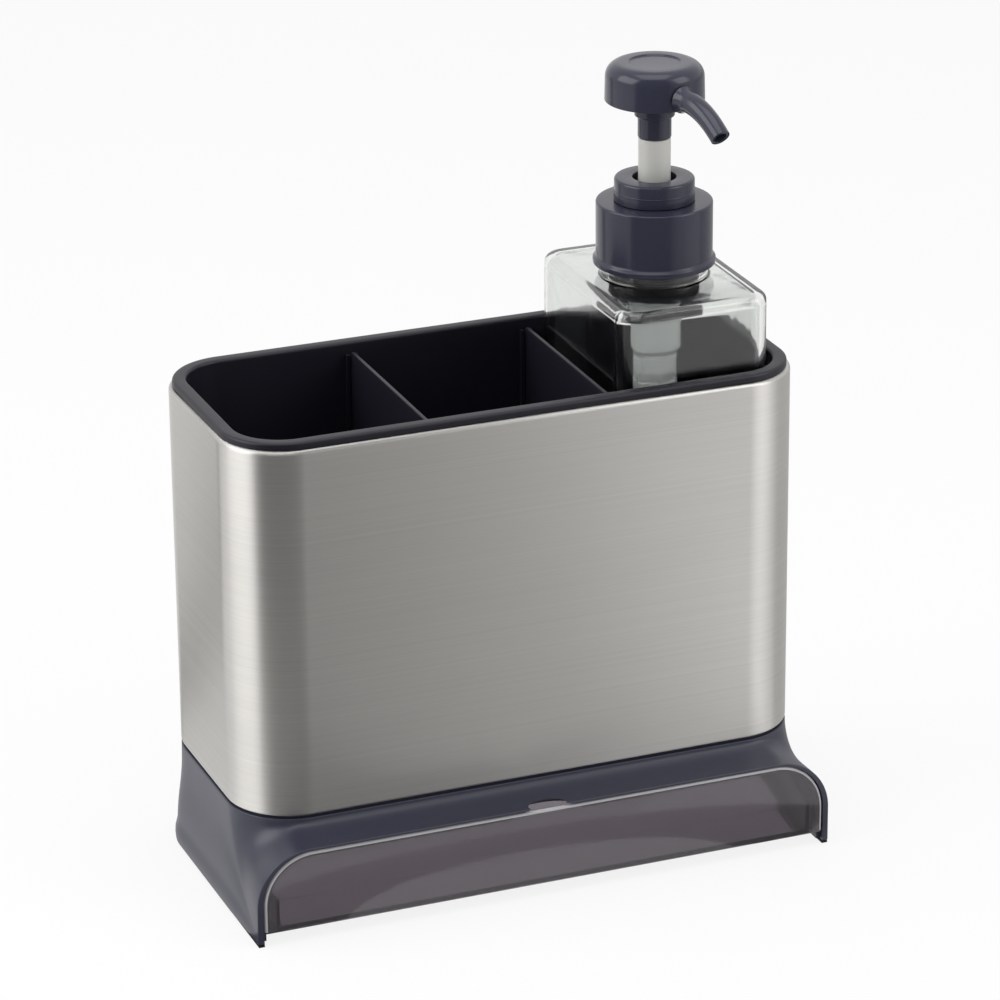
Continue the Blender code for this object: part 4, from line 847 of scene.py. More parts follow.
def skirt_rings(stations):
    """Rings of points from the end face's edge, up the skirt, to its edge under the sleeve."""
    rise = SLEEVE_LOW.z - GROOVE_HEIGHT
    edges, sweeps, tops = [], [], []
    for step in range(ROUND_STEPS + 1):
        angle = QUARTER * (1 - step / ROUND_STEPS)
        ring = []
        for top, way, foot, arrive, inward, level, lip in stations:
            centre = foot + (inward - arrive) * RIM_EDGE
            point = centre - inward * RIM_EDGE * cos(angle) + arrive * RIM_EDGE * sin(angle)
            ring.append(point + way * LIP_PROUD * lip * (1 - LIP_TUCK_SHARE))
        edges.append(ring)
    for step in range(1, SKIRT_RINGS):
        share = 1 - step / SKIRT_RINGS
        rest = 1 - share
        climb = min(max((share - LIP_START_SHARE) / (LIP_FULL_SHARE - LIP_START_SHARE), 0), 1)
        tuck = max(share - LIP_FULL_SHARE, 0) / (1 - LIP_FULL_SHARE) * LIP_TUCK_SHARE
        proud = climb ** 2 * (3 - 2 * climb) - tuck
        ring = []
        for top, way, foot, arrive, inward, level, lip in stations:
            end = foot - arrive * RIM_EDGE
            start = Vector((top.x, top.y, rise - RIM_EDGE))
            drop = start.z - end.z
            sweep = SKIRT_SWEEP_SHARE * abs(end.y - start.y) * level
            leave = start - SKIRT_DROP_SHARE * drop * UP
            reach = end + Vector((0, sweep, SKIRT_DROP_SHARE * drop * (1 - level)))
            point = rest ** 3 * start + 3 * rest ** 2 * share * leave
            point += 3 * rest * share ** 2 * reach + share ** 3 * end
            ring.append(point + way * LIP_PROUD * lip * proud)
        sweeps.append(eased(ring, round(EASE_PASSES * 4 * share * rest)))
    for step in range(ROUND_STEPS + 1):
        angle = QUARTER * step / ROUND_STEPS
        inset = RIM_EDGE * (1 - cos(angle))
        height = rise - RIM_EDGE * (1 - sin(angle))
        tops.append([Vector((top.x, top.y, height)) - inset * way for top, way, *_ in stations])
    return edges + sweeps + tops


def base_blank(sizes):
    """The base's outer form as one block, with the well under the liner sunk into it."""
    right = skirt_stations(sizes)
    stations = right + [across(station) for station in reversed(right[1:-1])]
    rings = skirt_rings(stations)
    seat_edge = GROOVE_DEPTH + SEAT_WIDTH
    deck_top = DECK_UNDERSIDE + DECK_THICKNESS
    steps = (
        (GROOVE_DEPTH, SLEEVE_LOW.z - GROOVE_HEIGHT),
        (GROOVE_DEPTH, BASE_HIGH.z),
        (seat_edge, BASE_HIGH.z),
        (seat_edge, deck_top),
        (seat_edge + DECK_RING, deck_top),
        (seat_edge + DECK_RING, DECK_UNDERSIDE - OVERRUN),
    )
    for inset, height in steps:
        rings.append([Vector((top.x, top.y, height)) - inset * way for top, way, *_ in stations])
    verts = [tuple(point + SLEEVE_Y * BACK) for ring in rings for point in ring]
    faces = ring_faces(rings, False)
    count = len(stations)
    foot = FRONT_STEPS + CORNER_STEPS + LEG_STEPS
    faces.append(tuple(range(foot, count - foot + 1)))
    faces.append(tuple(range(foot + 1)) + tuple(range(count - foot, count)))
    faces.append(tuple(range(len(verts) - count, len(verts))))
    return new_piece("base_shell_fine", verts, faces)


def tray_space(sizes):
    """The space for the tray, with a runner left along each side wall."""
    half = BASE_HALF - BASE_FLARE - BASE_WALL
    wide = half + OVERRUN
    radius = sizes.arch_radius - BASE_WALL
    spring = DECK_UNDERSIDE - radius
    section = arch(half, DECK_UNDERSIDE, radius, -OVERRUN)[2:-2]
    section += [(wide, spring), (wide, -OVERRUN), (-wide, -OVERRUN), (-wide, spring)]
    front = TRAY_LOW.y + PANEL_THICKNESS + GAP + FLANGE_THICKNESS
    back = SLEEVE_HIGH.y + BASE_FLARE - BASE_WALL
    space = prism("tray_space", section, front, back + OVERRUN, along="Y")
    plan = round_backed(half, front - OVERRUN, back, sizes.corner_radius + BASE_FLARE - BASE_WALL)
    combine(space, prism("tray_plan", plan, -2 * OVERRUN, SLEEVE_LOW.z), "INTERSECT")
    hold = TRAY_HIGH.x - TRAY_SIDE_INSET - RUNNER_HOLD
    top = TRAY_LOW.z + TRAY_RISE - GAP
    for inner, outer in ((-wide, -hold), (hold, wide)):
        low = (inner, front - OVERRUN, top - RUNNER_THICKNESS)
        combine(space, box("runner", low, (outer, back + OVERRUN, top)))
    return space


def front_opening(sizes):
    """The rebate that the tray's front closes, and the opening inside its flange."""
    radius = sizes.arch_radius - PANEL_MARGIN
    end = TRAY_LOW.y + PANEL_THICKNESS + GAP
    half, top = TRAY_HIGH.x + GAP, TRAY_HIGH.z + GAP
    rebate = prism("rebate", arch(half, top, radius, -OVERRUN), BASE_LOW.y - OVERRUN, end, along="Y")
    section = arch(half - FLANGE_WIDTH, top - FLANGE_WIDTH, radius - FLANGE_WIDTH, TRAY_LOW.z)
    side = (half + BASE_HALF - BASE_FLARE - BASE_WALL) / 2
    section += [(side, TRAY_LOW.z), (side, -OVERRUN), (-side, -OVERRUN), (-side, TRAY_LOW.z)]
    far = end + FLANGE_THICKNESS + OVERRUN / 2
    return rebate, prism("flange_opening", section, end - OVERRUN / 2, far, along="Y")


def finger_notch():
    """A rounded scoop in the flange, for a finger behind the tray's top edge."""
    mesh = bpy.data.meshes.new("finger_notch")
    work = bmesh.new()
    centre = (0, TRAY_LOW.y + PANEL_THICKNESS, TRAY_HIGH.z - FLANGE_WIDTH)
    place = Matrix.LocRotScale(centre, None, Vector(NOTCH_SIZE) / 2)
    bmesh.ops.create_uvsphere(
        work, u_segments=2 * NOTCH_STEPS, v_segments=NOTCH_STEPS, radius=1, matrix=place)
    work.to_mesh(mesh)
    work.free()
    return placed("finger_notch", mesh)


# Liner, bottle and pump


def liner_bin(sizes, inside):
    """The liner's walls, floor and rounded rim."""
    foot = LINER_FOOT_ROUND
    rim = LINER_HIGH.z - RIM_ROUND
    under = SLEEVE_HIGH.z + GAP
    section = arc((LINER_OUTSIDE + LINER_DRAFT + foot, LINER_LOW.z + foot), foot, -QUARTER, -QUARTER)
    section += [(LINER_OUTSIDE, under), (RIM_INSET, under)]
    section += arc((RIM_INSET + RIM_ROUND, rim), RIM_ROUND, pi, -QUARTER)
    section += arc((inside - RIM_ROUND, rim), RIM_ROUND, QUARTER, -QUARTER)
    section += arc((inside + LINER_DRAFT + foot, LINER_FLOOR_TOP + foot), foot, pi, QUARTER)
    rings = inset_rings(section, sizes.corner_radius)
    return lofted("inner_liner_fine", rings, True, (0, SLEEVE_Y, 0))


def liner_ribs(inside):
    """The pairs of upright ribs that hold the plates."""
    wall = SLEEVE_DEPTH / 2 - inside
    root = wall + (inside - LINER_OUTSIDE) / 2
    middle = (PLATE_LOW.x + PLATE_HIGH.x) / 2
    near = (PLATE_HIGH.x - PLATE_LOW.x) / 2 + RIB_CLEARANCE
    ribs = []
    for side, flank, end in product((-1, 1), repeat=3):
        face = side * middle + flank * near
        x_low, x_high = sorted((face, face + flank * RIB_WIDTH))
        y_low, y_high = sorted((SLEEVE_Y + end * root, SLEEVE_Y + end * (wall - RIB_PROUD)))
        low = (x_low, y_low, LINER_FLOOR_TOP - LINER_FLOOR / 2)
        ribs.append(box("rib", low, (x_high, y_high, PLATE_HIGH.z - RIB_WIDTH)))
    return merged("ribs", ribs)


def liner_holes():
    """The drain holes, a grid in each compartment."""
    pitch = PLATE_LOW.x + PLATE_HIGH.x
    turn = 2 * pi * (HOLE_STEPS - 1) / HOLE_STEPS
    holes = []
    for bay, column, row in product((-1, 0, 1), range(HOLES_ACROSS), range(HOLES_DEEP)):
        x = bay * pitch + (column - (HOLES_ACROSS - 1) / 2) * HOLE_PITCH_X
        y = SLEEVE_Y + (row - (HOLES_DEEP - 1) / 2) * HOLE_PITCH_Y
        outline = arc((x, y), HOLE_RADIUS, 0, turn, HOLE_STEPS - 1)
        holes.append(prism("hole", outline, LINER_LOW.z - OVERRUN, LINER_FLOOR_TOP + OVERRUN / 2))
    return merged("holes", holes)


def bottle_rings(sizes):
    """The bottle's rings: up its outside to the neck, and down its inside to the floor."""
    wall, edge = sizes.bottle_wall, sizes.bottle_edge
    size = (BOTTLE_CORNER, BOTTLE_HIGH.x - BOTTLE_LOW.x, BOTTLE_HIGH.y - BOTTLE_LOW.y)
    bottom, top = BOTTLE_LOW.z, BOTTLE_HIGH.z - NECK_LIP
    shoulder = BOTTLE_HIGH.z - NECK_HEIGHT
    underside = shoulder - wall
    floor = bottom + BOTTLE_FLOOR
    bore = NECK_RADIUS - NECK_WALL
    outside = [(FOOT_RECESS_INSET + FOOT_RECESS, bottom + FOOT_RECESS), (FOOT_RECESS_INSET, bottom)]
    outside += arc((edge, bottom + edge), edge, -QUARTER, -QUARTER)
    outside += arc((edge, shoulder - edge), edge, pi, -QUARTER)
    neck = arc((NECK_RADIUS + NECK_FILLET, shoulder + NECK_FILLET), NECK_FILLET, -QUARTER, -QUARTER)
    neck += arc((NECK_RADIUS - NECK_LIP, top), NECK_LIP, 0, QUARTER)
    neck += arc((bore + NECK_LIP, top), NECK_LIP, QUARTER, QUARTER)
    neck += arc((bore + NECK_FILLET, underside + NECK_FILLET), NECK_FILLET, pi, QUARTER)
    inside = arc((wall + edge, underside - edge), edge, QUARTER, QUARTER)
    inside += arc((wall + edge, floor + edge), edge, pi, QUARTER)
    rounds = []
    for radius, height in neck:
        rounds.append([(x, y, height) for x, y in rounded_rectangle(2 * radius, 2 * radius, radius)])
    return inset_rings(outside, *size) + rounds + inset_rings(inside, *size)


def closure_corners():
    """The closure's profile, from its hole over the top and down to its bead."""
    top, bottom = CLOSURE_HIGH.z, CLOSURE_LOW.z
    hole = COLLAR_HUB + CLOSURE_CLEARANCE
    bore = NECK_RADIUS + CLOSURE_CLEARANCE
    radius = bore + CLOSURE_WALL
    bead_top = bottom + CLOSURE_BEAD_HEIGHT
    return [
        (hole, top, FINE),
        (radius, top, CLOSURE_TOP_ROUND),
        (radius, bead_top + CLOSURE_BEAD, CLOSURE_BEAD_ROUND),
        (radius + CLOSURE_BEAD, bead_top, SLIGHT),
        (radius + CLOSURE_BEAD, bottom, SLIGHT),
        (bore, bottom, FINE),
        (bore, top - CLOSURE_TOP, 0),
        (hole, top - CLOSURE_TOP, 0),
    ]


def collar_corners():
    """The collar's profile, with its hub and skirt inside the housing."""
    top, low = COLLAR_HIGH.z, COLLAR_LOW.z
    bottom = CLOSURE_HIGH.z + GAP
    hub_bottom = HOUSING_HIGH.z + GAP
    skirt = HOUSING_RADIUS - HOUSING_WALL - STEM_CLEARANCE
    guide = STEM_RADIUS + STEM_CLEARANCE
    return [
        (COLLAR_HOLE, top, SLIGHT),
        (COLLAR_RADIUS, top, COLLAR_TOP_ROUND),
        (COLLAR_RADIUS, bottom + COLLAR_FOOT_HEIGHT, SLIGHT),
        (COLLAR_FOOT_RADIUS, bottom + COLLAR_FOOT_HEIGHT, FINE),
        (COLLAR_FOOT_RADIUS, bottom, HAIR),
        (COLLAR_HUB, bottom, 0),
        (COLLAR_HUB, hub_bottom, 0),
        (skirt, hub_bottom, 0),
        (skirt, low, FINE),
        (guide, low, FINE),
        (guide, top - COLLAR_HOLE_DEPTH, 0),
        (COLLAR_HOLE, top - COLLAR_HOLE_DEPTH, 0),
    ]


def gasket_corners():
    """The seal's profile: its flat ring, and a dark plug down the inside of the neck, put there as
    painted shade.
    """
    top, bottom = GASKET_HIGH.z, GASKET_LOW.z
    ring = (GASKET_HIGH.x - GASKET_LOW.x) / 2
    plug = NECK_RADIUS - NECK_WALL - GASKET_SHADE_PLUG_CLEARANCE
    inner = plug - GASKET_SHADE_PLUG_WALL
    seat = top - GASKET_THICKNESS
    return [
        (inner, top, HAIR),
        (ring, top, HAIR),
        (ring, seat, HAIR),
        # From here down, the dark plug is painted shade inside the neck
        (plug, seat, 0),
        (plug, bottom, SLIGHT),
        (inner, bottom, SLIGHT),
    ]


def housing_corners():
    """The housing's profile: flange, barrel, chamber, valve seat and tube socket."""
    top, bottom = HOUSING_HIGH.z, HOUSING_LOW.z
    flange = (HOUSING_HIGH.x - HOUSING_LOW.x) / 2
    step = CHAMBER_TOP + CHAMBER_STEP
    chamber_bottom = CHAMBER_TOP - CHAMBER_LENGTH
    socket_top = chamber_bottom - SOCKET_TAPER
    seat = socket_top + VALVE_LAND
    upper_bore = HOUSING_RADIUS - HOUSING_WALL
    bore = CHAMBER_RADIUS - HOUSING_WALL
    tube_bore = DIP_RADIUS + DIP_CLEARANCE
    groove = CHAMBER_TOP - CHAMBER_GROOVE_DROP
    return [
        (upper_bore, top, 0),
        (flange, top, SLIGHT),
        (flange, top - HOUSING_FLANGE, SLIGHT),
        (HOUSING_RADIUS, top - HOUSING_FLANGE, SOFT),
        (HOUSING_RADIUS, step, HOUSING_STEP_ROUND),
        (CHAMBER_RADIUS, CHAMBER_TOP, FINE),
        (CHAMBER_RADIUS, groove, 0),
        (CHAMBER_RADIUS - CHAMBER_GROOVE, groove - CHAMBER_GROOVE / 2, 0),
        (CHAMBER_RADIUS, groove - CHAMBER_GROOVE, 0),
        (CHAMBER_RADIUS, chamber_bottom, CHAMBER_FOOT_ROUND),
        (SOCKET_RADIUS, socket_top, SOFT),
        (SOCKET_RADIUS, bottom, SLIGHT),
        (tube_bore, bottom, HAIR),
        (tube_bore, socket_top, 0),
        (VALVE_HOLE, socket_top, 0),
        (VALVE_HOLE, seat, 0),
        (VALVE_CONE_RADIUS, seat + VALVE_CONE_HEIGHT, 0),
        (bore, seat + VALVE_CONE_HEIGHT + bore - VALVE_CONE_RADIUS, 0),
        (bore, CHAMBER_TOP, 0),
        (upper_bore, step, 0),
    ]


def housing_pockets():
    """Shallow pockets round the chamber, with narrow ribs between them."""
    top = CHAMBER_TOP - POCKET_DROP
    pockets = []
    for share in shares(POCKETS):
        start = POCKET_TURN + 2 * pi * share - POCKET_SPAN / 2
        end = start + POCKET_SPAN
        outline = arc((0, 0), CHAMBER_RADIUS + OVERRUN, start, POCKET_SPAN, CORNER_STEPS)
        outline += arc((0, 0), CHAMBER_RADIUS - POCKET_DEPTH, end, -POCKET_SPAN, CORNER_STEPS)
        pockets.append(prism("pocket", outline, top - POCKET_HEIGHT, top, shift=PUMP_PLACE))
    return merged("pockets", pockets)


def stem_corners():
    """The stem's profile, with a spigot at each end."""
    shoulder = HEAD_LOW.z - GAP
    foot = PISTON_HIGH.z + GAP
    return [
        (STEM_BORE, STEM_HIGH.z, 0),
        (STEM_SPIGOT, STEM_HIGH.z, FINE),
        (STEM_SPIGOT, shoulder, 0),
        (STEM_RADIUS, shoulder, FINE),
        (STEM_RADIUS, foot, FINE),
        (STEM_SPIGOT, foot, 0),
        (STEM_SPIGOT, STEM_LOW.z, FINE),
        (STEM_BORE, STEM_LOW.z, 0),
    ]


def spring_rings():
    """The return spring's wire, in rings from its lower end to its upper one."""
    reach = (SPRING_HIGH.x - SPRING_LOW.x - SPRING_WIRE) / 2
    bottom = SPRING_LOW.z + SPRING_WIRE / 2
    rise = (SPRING_HIGH.z - SPRING_LOW.z - SPRING_WIRE) / SPRING_TURNS
    rings = []
    for step in range(SPRING_TURNS * SPRING_POINTS + 1):
        turns = step / SPRING_POINTS
        out = outward(2 * pi * turns)
        centre = reach * out + (bottom + rise * turns) * UP
        rings.append(loop(centre, SPRING_WIRE / 2, out, UP, WIRE_STEPS))
    return rings


def head_corners(sizes):
    """The head's profile: recessed top, round edge, hollow underside and boss."""
    top = HEAD_HIGH.z
    bottom = top - HEAD_HEIGHT
    ceiling = top - HEAD_TOP_WALL
    boss_bottom = bottom - BOSS_FLANGE_LENGTH
    flare = HEAD_RADIUS + HEAD_FLARE
    bore = STEM_SPIGOT + GAP
    bore_top = STEM_HIGH.z + GAP
    duct = bottom + SPOUT_HEIGHT
    return [
        (0, top - RECESS_DEPTH, 0),
        (RECESS_RADIUS - RECESS_DEPTH, top - RECESS_DEPTH, SOFT),
        (RECESS_RADIUS, top, SOFT),
        (HEAD_RADIUS, top, sizes.head_round),
        (flare, bottom + HEAD_FLARE, SLIGHT),
        (HEAD_RADIUS, bottom, FINE),
        (flare - HEAD_WALL, bottom, SLIGHT),
        (HEAD_RADIUS - HEAD_WALL, ceiling, HEAD_CEILING_ROUND),
        (BOSS_RADIUS, ceiling, BOSS_ROOT_ROUND),
        (BOSS_RADIUS, bottom, FINE),
        (BOSS_FLANGE_RADIUS, bottom - HEAD_FLARE, HAIR),
        (BOSS_FLANGE_RADIUS, boss_bottom, SOFT),
        (HEAD_SOCKET_RADIUS, boss_bottom, SLIGHT),
        (HEAD_SOCKET_RADIUS, HEAD_LOW.z, SLIGHT),
        (bore, HEAD_LOW.z, 0),
        (bore, bore_top, 0),
        (HEAD_BORE, bore_top, 0),
        (HEAD_BORE, duct, 0),
        (0, duct, 0),
    ]


def spout_point(reach, drop=0.0):
    """A point at a distance from the pump's axis in the spout's direction."""
    height = HEAD_HIGH.z - HEAD_HEIGHT + SPOUT_HEIGHT - drop
    return Vector((reach * cos(SPOUT_AZIMUTH), reach * sin(SPOUT_AZIMUTH), height))


def spout_hole(sizes):
    """The hole for the spout with the duct to the stem's bore, as one body."""
    start = SPOUT_START - SPOUT_CLEARANCE
    wide = sizes.spout_radius + SPOUT_CLEARANCE
    steps = ((0, HEAD_BORE), (start, HEAD_BORE), (start, wide), (HEAD_RADIUS + OVERRUN, wide))
    rings = [loop(spout_point(reach), radius, SPOUT_SIDE, UP) for reach, radius in steps]
    return lofted("spout_hole", rings, True, PUMP_PLACE)


def spout_line(radius):
    """The spout's centre points with its outer radius and bore at each, from root to tip."""
    near = HEAD_RADIUS + HEAD_FLARE + GAP
    bend = HEAD_RADIUS + HEAD_FLARE + SPOUT_COLLAR_LENGTH
    reaches = [SPOUT_START, near - WELD]
    reaches += [near + (SPOUT_REACH - near) * step / SPOUT_STEPS for step in range(SPOUT_STEPS + 1)]
    line = []
    for reach in reaches:
        taper = (reach - SPOUT_START) / (SPOUT_REACH - SPOUT_START)
        plain = radius + (SPOUT_TIP_RADIUS - radius) * taper
        fade = max(1 - (reach - near) / SPOUT_FAIRING, 0) if reach >= near else 0
        drop = SPOUT_DROP * (max(reach - bend, 0) / (SPOUT_REACH - bend)) ** 2
        line.append((spout_point(reach, drop), plain + SPOUT_COLLAR * fade ** 2, plain - SPOUT_WALL))
    return line


def spout_rings(radius):
    """Rings square to the spout's line: outside from root to tip, and back along the bore."""
    line = spout_line(radius)
    outside, inside = [], []
    for index, (centre, outer, bore) in enumerate(line):
        before = line[max(index - 1, 0)][0]
        after = line[min(index + 1, len(line) - 1)][0]
        up = (after - before).normalized().cross(SPOUT_SIDE)
        outside.append((centre, outer, up))
        inside.append((centre, bore, up))
    tip_edge = SPOUT_WALL / 4
    short = centre + SPOUT_SIDE.cross(up) * tip_edge
    outside[-1] = (short, outer, up)
    inside[-1] = (short, bore, up)
    tip = [(centre, outer - tip_edge, up), (centre, bore + tip_edge, up)]
    return [loop(place, reach, SPOUT_SIDE, way) for place, reach, way in outside + tip + inside[::-1]]


# Operators


class ORGANIZER_OT_base(bpy.types.Operator):
    """Make the base shell and give the anti-slip strip its rubber"""

    bl_idname = "organizer.base"
    bl_label = "Base"

    def execute(self, context):
        sizes = context.scene.organizer_sizes
        base = base_blank(sizes)
        combine(base, tray_space(sizes))
        for cutter in front_opening(sizes):
            combine(base, cutter)
        combine(base, finger_notch())
        hand_over(base, "frame", "base_shell", moulded("Dark Plastic"))
        give_finish(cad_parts["anti_slip_strip"], moulded("Black Rubber"))
        return {"FINISHED"}


class ORGANIZER_OT_drip_tray(bpy.types.Operator):
    """Make the see-through drip tray with its arched front panel"""

    bl_idname = "organizer.drip_tray"
    bl_label = "Drip Tray"

    def execute(self, context):
        sizes = context.scene.organizer_sizes
        panel_back = TRAY_LOW.y + PANEL_THICKNESS
        outline = arch(TRAY_HIGH.x, TRAY_HIGH.z, sizes.arch_radius - PANEL_MARGIN - GAP, TRAY_LOW.z)
        tray = prism("drip_tray_fine", outline, TRAY_LOW.y, panel_back, along="Y")
        soften_edges(tray, PANEL_ROUND)
        half, back = TRAY_HIGH.x - TRAY_SIDE_INSET, TRAY_HIGH.y
        radius = sizes.corner_radius + BASE_FLARE - BASE_WALL - TRAY_BACK_GAP
        bottom, top = TRAY_LOW.z + TRAY_RISE, TRAY_LOW.z + TRAY_HEIGHT
        plan = round_backed(half, panel_back - PANEL_THICKNESS / 2, back, radius)
        combine(tray, prism("tray_body", plan, bottom, top), "UNION")
        plan = round_backed(half - TRAY_WALL, panel_back + GAP, back - TRAY_WALL, radius - TRAY_WALL)
        combine(tray, prism("tray_hollow", plan, bottom + TRAY_FLOOR, top + OVERRUN))
        hand_over(tray, "tray", "drip_tray", moulded("Smoky Plastic"))
        # The panel's rounded front edge gets the lighter edge finish, a painted highlight for the
        # bright line along it
        tray.data.materials.append(moulded("Smoky Plastic Painted Highlight"))
        near, low = TRAY_LOW.y + PANEL_ROUND, TRAY_LOW.z + PANEL_ROUND
        for face in tray.data.polygons:
            if face.center.y < near and face.center.z > low and face.normal.y > HIGHLIGHT_EDGE_FACING:
                face.material_index = 1
        return {"FINISHED"}


class ORGANIZER_OT_steel_sleeve(bpy.types.Operator):
    """Make the brushed steel sleeve with its turned-in edges"""

    bl_idname = "organizer.steel_sleeve"
    bl_label = "Steel Sleeve"

    def execute(self, context):
        sizes = context.scene.organizer_sizes
        top, bottom, sheet, fold = SLEEVE_HIGH.z, SLEEVE_LOW.z, sizes.sheet, SLEEVE_TOP_ROUND
        section = arc((sheet, bottom + sheet), sheet, -QUARTER, -QUARTER)
        section += arc((fold, top - fold), fold, pi, -QUARTER, SLEEVE_TOP_STEPS)
        section += [
            (SLEEVE_FLANGE, top),
            (SLEEVE_FLANGE, top - sheet),
            (fold, top - sheet),
            (sheet, top - fold),
            (sheet, bottom + sheet),
            (SLEEVE_FLANGE, bottom + sheet),
            (SLEEVE_FLANGE, bottom),
        ]
        rings = inset_rings(section, sizes.corner_radius)
        sleeve = lofted("steel_sleeve_fine", rings, False, (0, SLEEVE_Y, 0))
        hand_over(sleeve, "frame", "steel_sleeve", brushed_steel())
        return {"FINISHED"}


class ORGANIZER_OT_liner(bpy.types.Operator):
    """Make the black liner with its rim, ribs and drain holes"""

    bl_idname = "organizer.liner"
    bl_label = "Liner"

    def execute(self, context):
        sizes = context.scene.organizer_sizes
        inside = RIM_INSET + sizes.rim_width
        liner = liner_bin(sizes, inside)
        combine(liner, liner_ribs(inside), "UNION")
        combine(liner, liner_holes())
        hand_over(liner, "liner", "inner_liner", moulded("Black Plastic"))
        return {"FINISHED"}


class ORGANIZER_OT_dividers(bpy.types.Operator):
    """Make the two plates between the compartments"""

    bl_idname = "organizer.dividers"
    bl_label = "Dividers"

    def execute(self, context):
        foot, edge = LINER_FOOT_ROUND, PLATE_ROUND
        for node, body in (("divider_left", "left_divider"), ("divider_right", "right_divider")):
            low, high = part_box(node)
            outline = [(low.y + foot, low.z), (high.y - foot, low.z), (high.y, low.z + foot)]
            outline += arc((high.y - edge, high.z - edge), edge, 0, QUARTER)
            outline += arc((low.y + edge, high.z - edge), edge, QUARTER, QUARTER)
            outline.append((low.y, low.z + foot))
            plate = lofted(node + "_fine", [[(x, y, z) for y, z in outline] for x in (low.x, high.x)])
            soften_edges(plate, PLATE_EDGE)
            hand_over(plate, body, node, moulded("Black Plastic"))
        return {"FINISHED"}


class ORGANIZER_OT_bottle(bpy.types.Operator):
    """Make the clear bottle with its neck"""

    bl_idname = "organizer.bottle"
    bl_label = "Bottle"

    def execute(self, context):
        bottle = lofted("bottle_fine", bottle_rings(context.scene.organizer_sizes), True, PUMP_PLACE)
        hand_over(bottle, "bottle", "bottle", moulded("Clear Plastic"))
        return {"FINISHED"}


class ORGANIZER_OT_closure(bpy.types.Operator):
    """Make the screw closure and its lock collar"""

    bl_idname = "organizer.closure"
    bl_label = "Closure and Collar"

    def execute(self, context):
        finish = moulded("Glossy Dark Plastic")
        closure = turned("closure_fine", closure_corners())
        hand_over(closure, "closure", "closure", finish)
        collar = turned("lock_collar_fine", collar_corners())
        hand_over(collar, "pump", "lock_collar", finish)
        return {"FINISHED"}


class ORGANIZER_OT_housing(bpy.types.Operator):
    """Make the pump's milky housing and dip tube"""

    bl_idname = "organizer.housing"
    bl_label = "Pump Housing"

    def execute(self, context):
        finish = moulded("Milky Plastic")
        housing = turned("pump_housing_fine", housing_corners())
        combine(housing, housing_pockets())
        hand_over(housing, "pump", "pump_housing", finish)
        tube = [
            (DIP_RADIUS - DIP_WALL, DIP_HIGH.z, 0),
            (DIP_RADIUS, DIP_HIGH.z, 0),
            (DIP_RADIUS, DIP_LOW.z, FINE),
            (DIP_RADIUS - DIP_WALL, DIP_LOW.z, FINE),
        ]
        dip_tube = turned("dip_tube_fine", tube, steps=TUBE_STEPS)
        hand_over(dip_tube, "pump", "dip_tube", finish)
        return {"FINISHED"}


class ORGANIZER_OT_plunger(bpy.types.Operator):
    """Make the gasket, the stem and the spring, and finish the pump's small inner pieces"""

    bl_idname = "organizer.plunger"
    bl_label = "Stem and Spring"

    def execute(self, context):
        stem = turned("stem_fine", stem_corners())
        hand_over(stem, "head", "stem", moulded("White Plastic"))
        spring = lofted("return_spring_fine", spring_rings(), True, PUMP_PLACE)
        hand_over(spring, "pump", "return_spring", moulded("Bright Wire"))
        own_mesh(spring)
        gasket = turned("gasket_fine", gasket_corners())
        hand_over(gasket, "seal", "gasket", moulded("Black Rubber"))
        give_finish(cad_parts["piston"], moulded("Black Plastic"))
        give_finish(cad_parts["check_ball"], moulded("Bright Wire"))
        return {"FINISHED"}


class ORGANIZER_OT_head(bpy.types.Operator):
    """Make the press-down head and its spout"""

    bl_idname = "organizer.head"
    bl_label = "Head and Spout"

    def execute(self, context):
        sizes = context.scene.organizer_sizes
        finish = moulded("Glossy Dark Plastic")
        head = turned("actuator_head_fine", head_corners(sizes), True, round_steps=HEAD_ROUND_STEPS)
        combine(head, spout_hole(sizes))
        hand_over(head, "head", "actuator_head", finish)
        spout = lofted("spout_fine", spout_rings(sizes.spout_radius), False, PUMP_PLACE)
        hand_over(spout, "head", "spout", finish)
        return {"FINISHED"}


